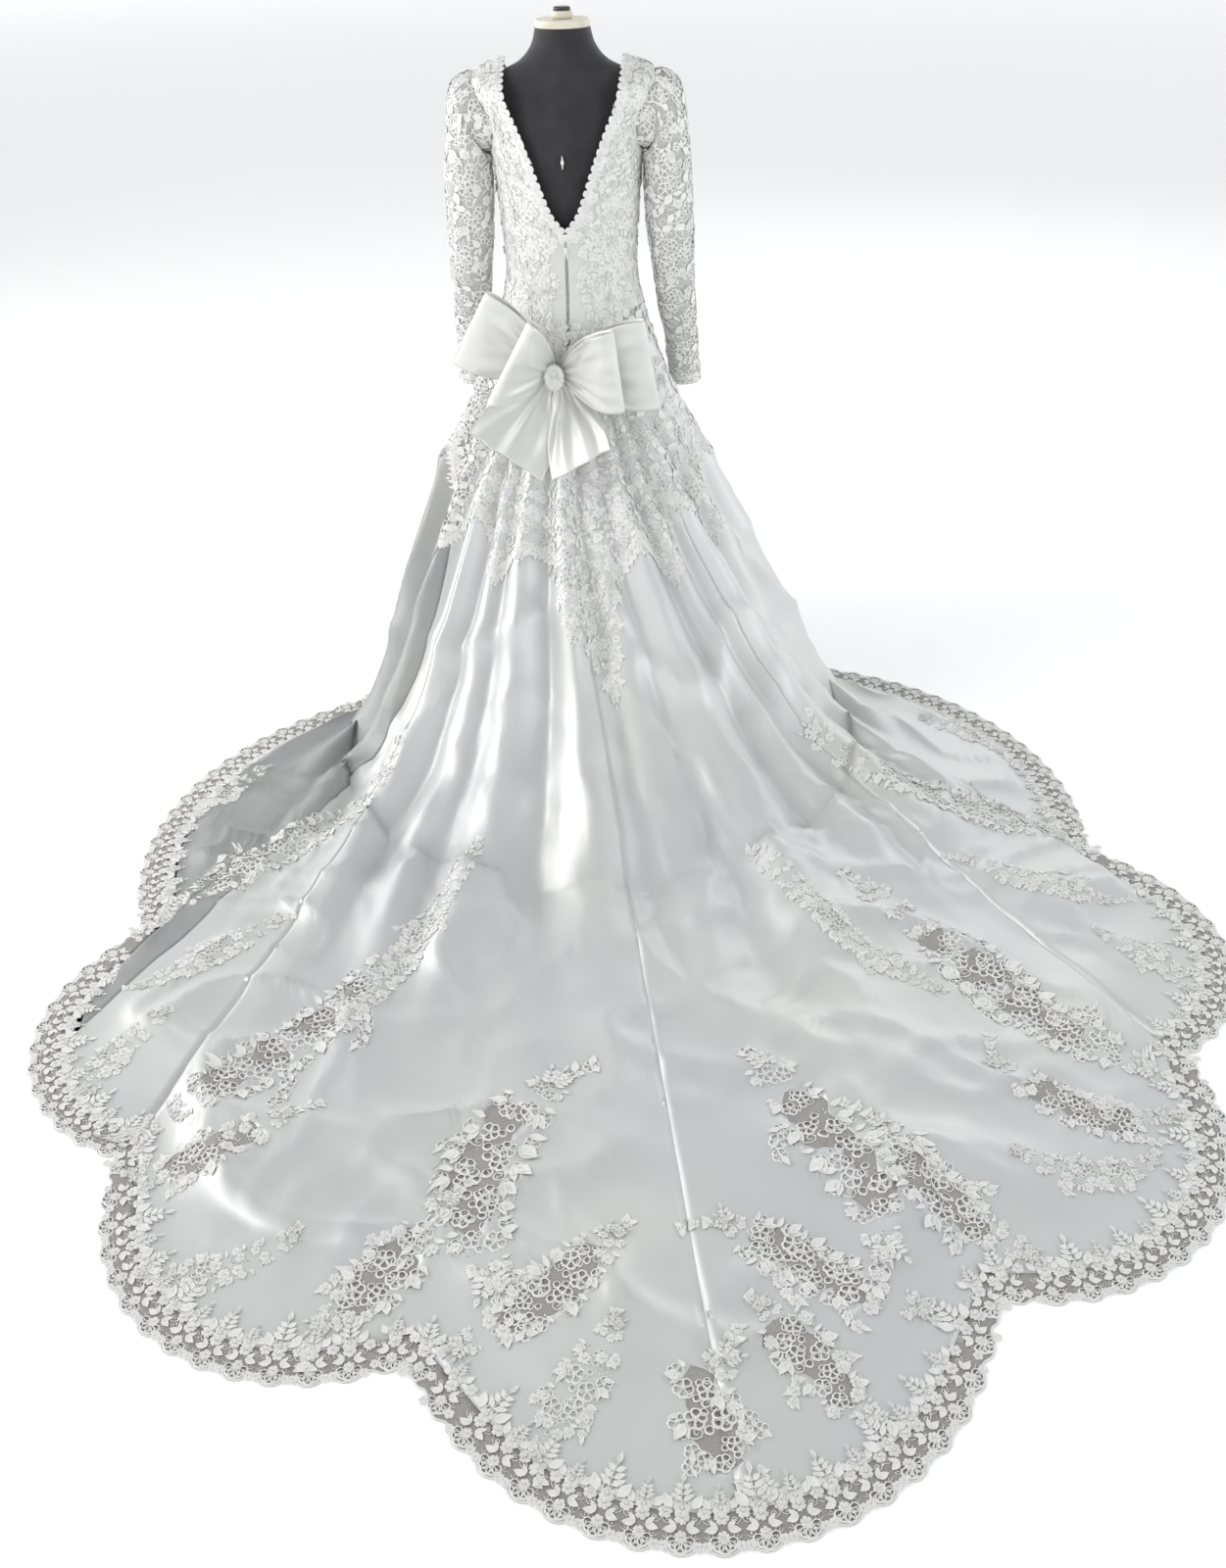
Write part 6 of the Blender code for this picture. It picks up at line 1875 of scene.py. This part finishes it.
def metal_plate(name, low, high, material, body):
    """Small rounded casting: the slider's body with its bridge, or the tab with its slot."""
    bm = bmesh.new()
    centre, size = (low + high) / 2, high - low
    rounds = 20
    outline = []
    for k in range(rounds):
        turn = 2 * math.pi * k / rounds
        c, s = math.cos(turn), math.sin(turn)
        power = 0.55
        x = math.copysign(abs(c) ** power, c) * size[0] / 2
        z = math.copysign(abs(s) ** power, s) * size[2] / 2
        outline.append((x * (0.86 + 0.14 * (z > 0)) if name == "zip_tab" else x * (0.9 + 0.1 * (z > 0)), z))
    hole = None
    if name == "zip_tab":
        hole = [(0.42 * x, -0.30 * size[2] + 0.28 * z) for x, z in outline]
    levels = ((0.0, 0.86), (0.22, 1.0), (0.78, 1.0), (1.0, 0.86))
    rings = []
    for depth, share in levels:
        y = high[1] - size[1] * depth
        rings.append([bm.verts.new((centre[0] + x * share, y, centre[2] + z * share)) for x, z in outline])
    for near, far in zip(rings, rings[1:]):
        for a in range(rounds):
            b = (a + 1) % rounds
            bm.faces.new((near[a], near[b], far[b], far[a]))
    if hole:
        inner = [[bm.verts.new((centre[0] + x, high[1] - size[1] * depth, centre[2] + z)) for x, z in hole]
                 for depth in (0.0, 1.0)]
        for a in range(rounds):
            b = (a + 1) % rounds
            bm.faces.new((rings[0][b], rings[0][a], inner[0][a], inner[0][b]))
            bm.faces.new((rings[-1][a], rings[-1][b], inner[1][b], inner[1][a]))
            bm.faces.new((inner[0][b], inner[0][a], inner[1][a], inner[1][b]))
    else:
        bm.faces.new(rings[0])
        bm.faces.new(rings[-1])
        bridge = []
        for k in range(7):
            turn = math.pi * k / 6
            z = centre[2] + size[2] * 0.34 * math.cos(turn)
            y = low[1] + 0.0005 - 0.0004 * math.sin(turn)
            bridge.append([bm.verts.new((centre[0] + x, y + dy, z))
                           for x, dy in ((-0.0008, 0.0), (0.0008, 0.0), (0.0006, -0.0002), (-0.0006, -0.0002))])
        for near, far in zip(bridge, bridge[1:]):
            for a in range(4):
                b = (a + 1) % 4
                bm.faces.new((near[a], near[b], far[b], far[a]))
        bm.faces.new(bridge[0])
        bm.faces.new(bridge[-1])
    bmesh.ops.recalc_face_normals(bm, faces=bm.faces)
    mesh = bpy.data.meshes.new(name + "_metal")
    bm.to_mesh(mesh)
    bm.free()
    mesh.materials.append(material)
    item = bpy.data.objects.new(name + "_metal", mesh)
    bpy.context.scene.collection.objects.link(item)
    for polygon in mesh.polygons:
        polygon.use_smooth = len(polygon.vertices) == 4
    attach(item, body)
    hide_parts(name)
    return item


def turned_piece(name, profile_rows, sides, material, wide=1.0, node=None):
    """Turned shape round the pole's axis, closed on the axis at both ends."""
    rows = len(profile_rows)
    points = np.zeros((rows, sides, 3))
    for j, (radius, height) in enumerate(profile_rows):
        for k in range(sides):
            turn = 2 * math.pi * k / sides
            points[j, k] = radius * wide * math.cos(turn), radius * math.sin(turn), height
    piece = Piece()
    faces = []
    for j, k in itertools.product(range(rows - 1), range(sides)):
        m = (k + 1) % sides
        faces.append((j * sides + k, j * sides + m, (j + 1) * sides + m, (j + 1) * sides + k))
    piece.add(points.reshape(-1, 3), np.array(faces))
    for row, flip in ((0, True), (rows - 1, False)):
        centre = np.array([[0, 0, profile_rows[row][1]]])
        ring = points[row]
        fan = [(k, (k + 1) % sides, sides) for k in range(sides)]
        if flip:
            fan = [face[::-1] for face in fan]
        piece.add(np.concatenate([ring, centre]), np.array(fan))
    item = piece.build(name, [material])
    return finish_piece(item, node, node)


def make_torso(stuff):
    """Smooth jersey torso with raised seams down the middle and both sides of the back and front."""
    sides, times = 80, 4
    heights = [row[0] for row in FORM]
    places = np.interp(np.arange(0, (len(heights) - 1) * times + 1) / times, np.arange(len(heights)), heights)
    grid = np.zeros((len(places), sides, 3))
    for j, height in enumerate(places):
        slim = FORM_SLIM * (1 - ease((height - SLIM_TO) / (SLIM_FROM - SLIM_TO)))
        for k in range(sides):
            azimuth = 360 * k / sides
            seam = 0.0
            for line_azimuth in (0, 33, 90, 147, 180, 213, 270, 327):
                off = abs((azimuth - line_azimuth + 180) % 360 - 180)
                seam = max(seam, 0.0009 * math.exp(-(off / 1.6) ** 2))
            point = body_point(azimuth, height, seam - slim - 0.0001)
            grid[j, k] = point.x, point.y, height
    piece = Piece()
    faces = grid_faces(len(places), sides, True)[:, ::-1]
    piece.add(grid.reshape(-1, 3), faces)
    for row, flip in ((0, True), (len(places) - 1, False)):
        centre = np.array([grid[row].mean(axis=0)])
        fan = [(k, (k + 1) % sides, sides) for k in range(sides)]
        if flip:
            fan = [face[::-1] for face in fan]
        piece.add(np.concatenate([grid[row], centre]), np.array(fan))
    return finish_piece(piece.build("form_torso_jersey", [stuff["jersey"]]), "form_torso", "form_torso")


def make_form_top(stuff):
    """Neck cap with its rolled lip, knob and button, and the back adjuster's screw."""
    neck_top, neck_half, _, neck_depth = FORM[-1]
    wide = neck_half / neck_depth
    cap = neck_top + SEAM
    rows = [(neck_depth, cap), (neck_depth + 0.0006, cap + 0.004), (neck_depth + 0.0004, cap + 0.0105)]
    for k in range(6):
        turn = math.pi / 2 * k / 5
        rows.append((neck_depth - 0.0032 * (1 - math.cos(turn)), cap + 0.0118 + 0.0032 * math.sin(turn)))
    rows += [(neck_depth - 0.008, cap + 0.0150), (0.024, cap + 0.0148)]
    made = [turned_piece("form_neck_cap_turned", rows, 72, stuff["cream"], wide, "form_neck_cap")]
    knob = cap + 0.0150 + SEAM
    rows = [(0.0185, knob), (0.0205, knob + 0.0012), (0.0215, knob + 0.0035), (0.0215, knob + 0.0105),
            (0.0207, knob + 0.0128), (0.0190, knob + 0.0140)]
    made.append(turned_piece("form_knob_turned", rows, 56, stuff["cream"], 1.0, "form_knob"))
    button = knob + 0.0140 + SEAM
    rows = [(0.0168, button), (0.0172, button + 0.0012), (0.0172, button + 0.0046), (0.0164, button + 0.0062),
            (0.0148, button + 0.0069)]
    made.append(turned_piece("form_knob_top_turned", rows, 56, stuff["black"], 1.0, "form_knob_top"))
    low, high = (np.array(v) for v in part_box("form_back_dial"))
    centre, size = (low + high) / 2, (high - low) / 2
    sides = 28
    piece = Piece()
    rings = []
    for share, y in ((1.0, high[1]), (1.0, low[1] + 0.0005), (0.88, low[1]), (0.70, low[1] + 0.0006)):
        turns = np.linspace(0, 2 * math.pi, sides, endpoint=False)
        rings.append(np.stack([centre[0] + size[0] * share * np.cos(turns), np.full(sides, y),
                               centre[2] + size[2] * share * np.sin(turns)], axis=1))
    points = np.concatenate(rings + [[(centre[0], low[1] + 0.0006, centre[2])], [(centre[0], high[1], centre[2])]])
    faces = []
    for j, k in itertools.product(range(3), range(sides)):
        m = (k + 1) % sides
        faces += [(j * sides + k, j * sides + m, (j + 1) * sides + m), (j * sides + k, (j + 1) * sides + m,
                                                                       (j + 1) * sides + k)]
    last = 4 * sides
    for k in range(sides):
        m = (k + 1) % sides
        faces += [(3 * sides + k, 3 * sides + m, last), (m, k, last + 1)]
    piece.add(points, np.array(faces))
    turns = np.linspace(0, 2 * math.pi, 18, endpoint=False)
    for wide, tall, rise in ((0.0017, 0.0135, 0.0002), (0.0040, 0.0046, -0.0001)):
        oval = []
        for share, y in ((1.0, low[1] + 0.0006), (1.0, low[1] - rise + 0.0003), (0.8, low[1] - rise)):
            oval.append(np.stack([centre[0] + wide * share * np.cos(turns), np.full(18, y),
                                  centre[2] + tall * share * np.sin(turns)], axis=1))
        oval_points = np.concatenate(oval + [[(centre[0], low[1] - rise, centre[2])]])
        oval_faces = []
        for j, k in itertools.product(range(2), range(18)):
            m = (k + 1) % 18
            oval_faces += [(j * 18 + k, j * 18 + m, (j + 1) * 18 + m), (j * 18 + k, (j + 1) * 18 + m, (j + 1) * 18 + k)]
        oval_faces += [(36 + k, 36 + (k + 1) % 18, 54) for k in range(18)]
        piece.add(oval_points, np.array(oval_faces), 1)
    item = piece.build("form_back_dial_plate", [stuff["black"], stuff["enamel"]])
    made.append(finish_piece(item, "form_back_dial", "form_back_dial"))
    return made


def make_studio(stuff):
    """Pale floor, an even world and three soft lamps."""
    floor_piece = Piece()
    floor_piece.add(np.array([(-30, -30, -0.0004), (30, -30, -0.0004), (30, 30, -0.0004), (-30, 30, -0.0004)], float),
                    np.array([(0, 1, 2, 3)]))
    floor = floor_piece.build("studio_floor", [stuff["floor"]])
    ring = []
    for height in (-0.001, 14.0):
        ring.append([(29 * math.cos(2 * math.pi * k / 48), 29 * math.sin(2 * math.pi * k / 48), height)
                     for k in range(48)])
    wall_piece = Piece()
    wall_piece.add(np.array(ring).reshape(-1, 3), grid_faces(2, 48, True))
    wall = wall_piece.build("studio_wall", [stuff["backdrop"]])
    world = bpy.data.worlds.new("studio")
    world.use_nodes = True
    background = world.node_tree.nodes["Background"]
    background.inputs["Color"].default_value = (0.96, 0.98, 1.0, 1.0)
    background.inputs["Strength"].default_value = 0.40
    bpy.context.scene.world = world
    bpy.context.scene.view_settings.view_transform = "Standard"
    lamps = (
        ("lamp_key", (-3.4, -1.4, 3.4), (0.0, -0.7, 0.6), 1.6, 80.0, (1.0, 0.985, 0.965)),
        ("lamp_fill", (3.6, -1.8, 2.0), (0.0, -0.6, 0.5), 1.8, 26.0, (0.90, 0.975, 1.0)),
        ("lamp_side", (-4.6, 0.6, 1.7), (0.0, -0.4, 0.5), 2.4, 66.0, (1.0, 0.99, 0.98)),
        ("lamp_back", (1.8, 4.2, 3.4), (0.1, -1.2, 0.1), 2.2, 34.0, (1.0, 1.0, 1.0)),
    )
    for name, place, aim, size, power, colour in lamps:
        lamp = bpy.data.lights.new(name, "AREA")
        lamp.shape = "SQUARE"
        lamp.size = size
        lamp.energy = power
        lamp.color = colour
        item = bpy.data.objects.new(name, lamp)
        item.location = place
        item.rotation_euler = (Vector(aim) - Vector(place)).to_track_quat("-Z", "Y").to_euler()
        bpy.context.scene.collection.objects.link(item)
    camera = bpy.data.cameras.new("camera")
    camera.sensor_fit = "VERTICAL"
    camera.sensor_height = 36.0
    camera.lens = 34.25
    camera.shift_y = -0.05475
    eye = bpy.data.objects.new("camera", camera)
    right = Vector((0.9962, 0.0831, -0.0260)).normalized()
    ahead = Vector((-0.0849, 0.8609, -0.5016)).normalized()
    right = (right - ahead * right.dot(ahead)).normalized()
    up = right.cross(ahead)
    turn = Matrix((right, up, -ahead)).transposed().to_4x4()
    eye.matrix_world = Matrix.Translation((0.3806, -3.2398, 1.8356)) @ turn
    bpy.context.scene.collection.objects.link(eye)
    bpy.context.scene.camera = eye


def main():
    stuff = make_materials()
    for name, kind in (("form_pole", "steel"), ("form_base", "steel")):
        node = frame["nodes"][name]
        node.data.materials.clear()
        node.data.materials.append(stuff[kind])
    surface = skirt_surface()
    skirt = Grid(surface, closed=True)
    finder = OnTrain(skirt)
    gores, nets = make_gores(skirt, stuff)
    train_lace = make_train_lace(skirt, finder, stuff)
    upper = make_upper_lace(skirt, stuff)
    for k, (name, lobe) in enumerate(zip(LOBE_NAMES, LOBES)):
        make_border("hem_" + name, lobe, stuff, SEED + k)
    panels = make_panels(stuff)
    sleeves = make_sleeves(stuff)
    bow, bow_centre = make_bow(stuff)
    make_zip(stuff)
    make_torso(stuff)
    make_form_top(stuff)
    make_studio(stuff)


main()
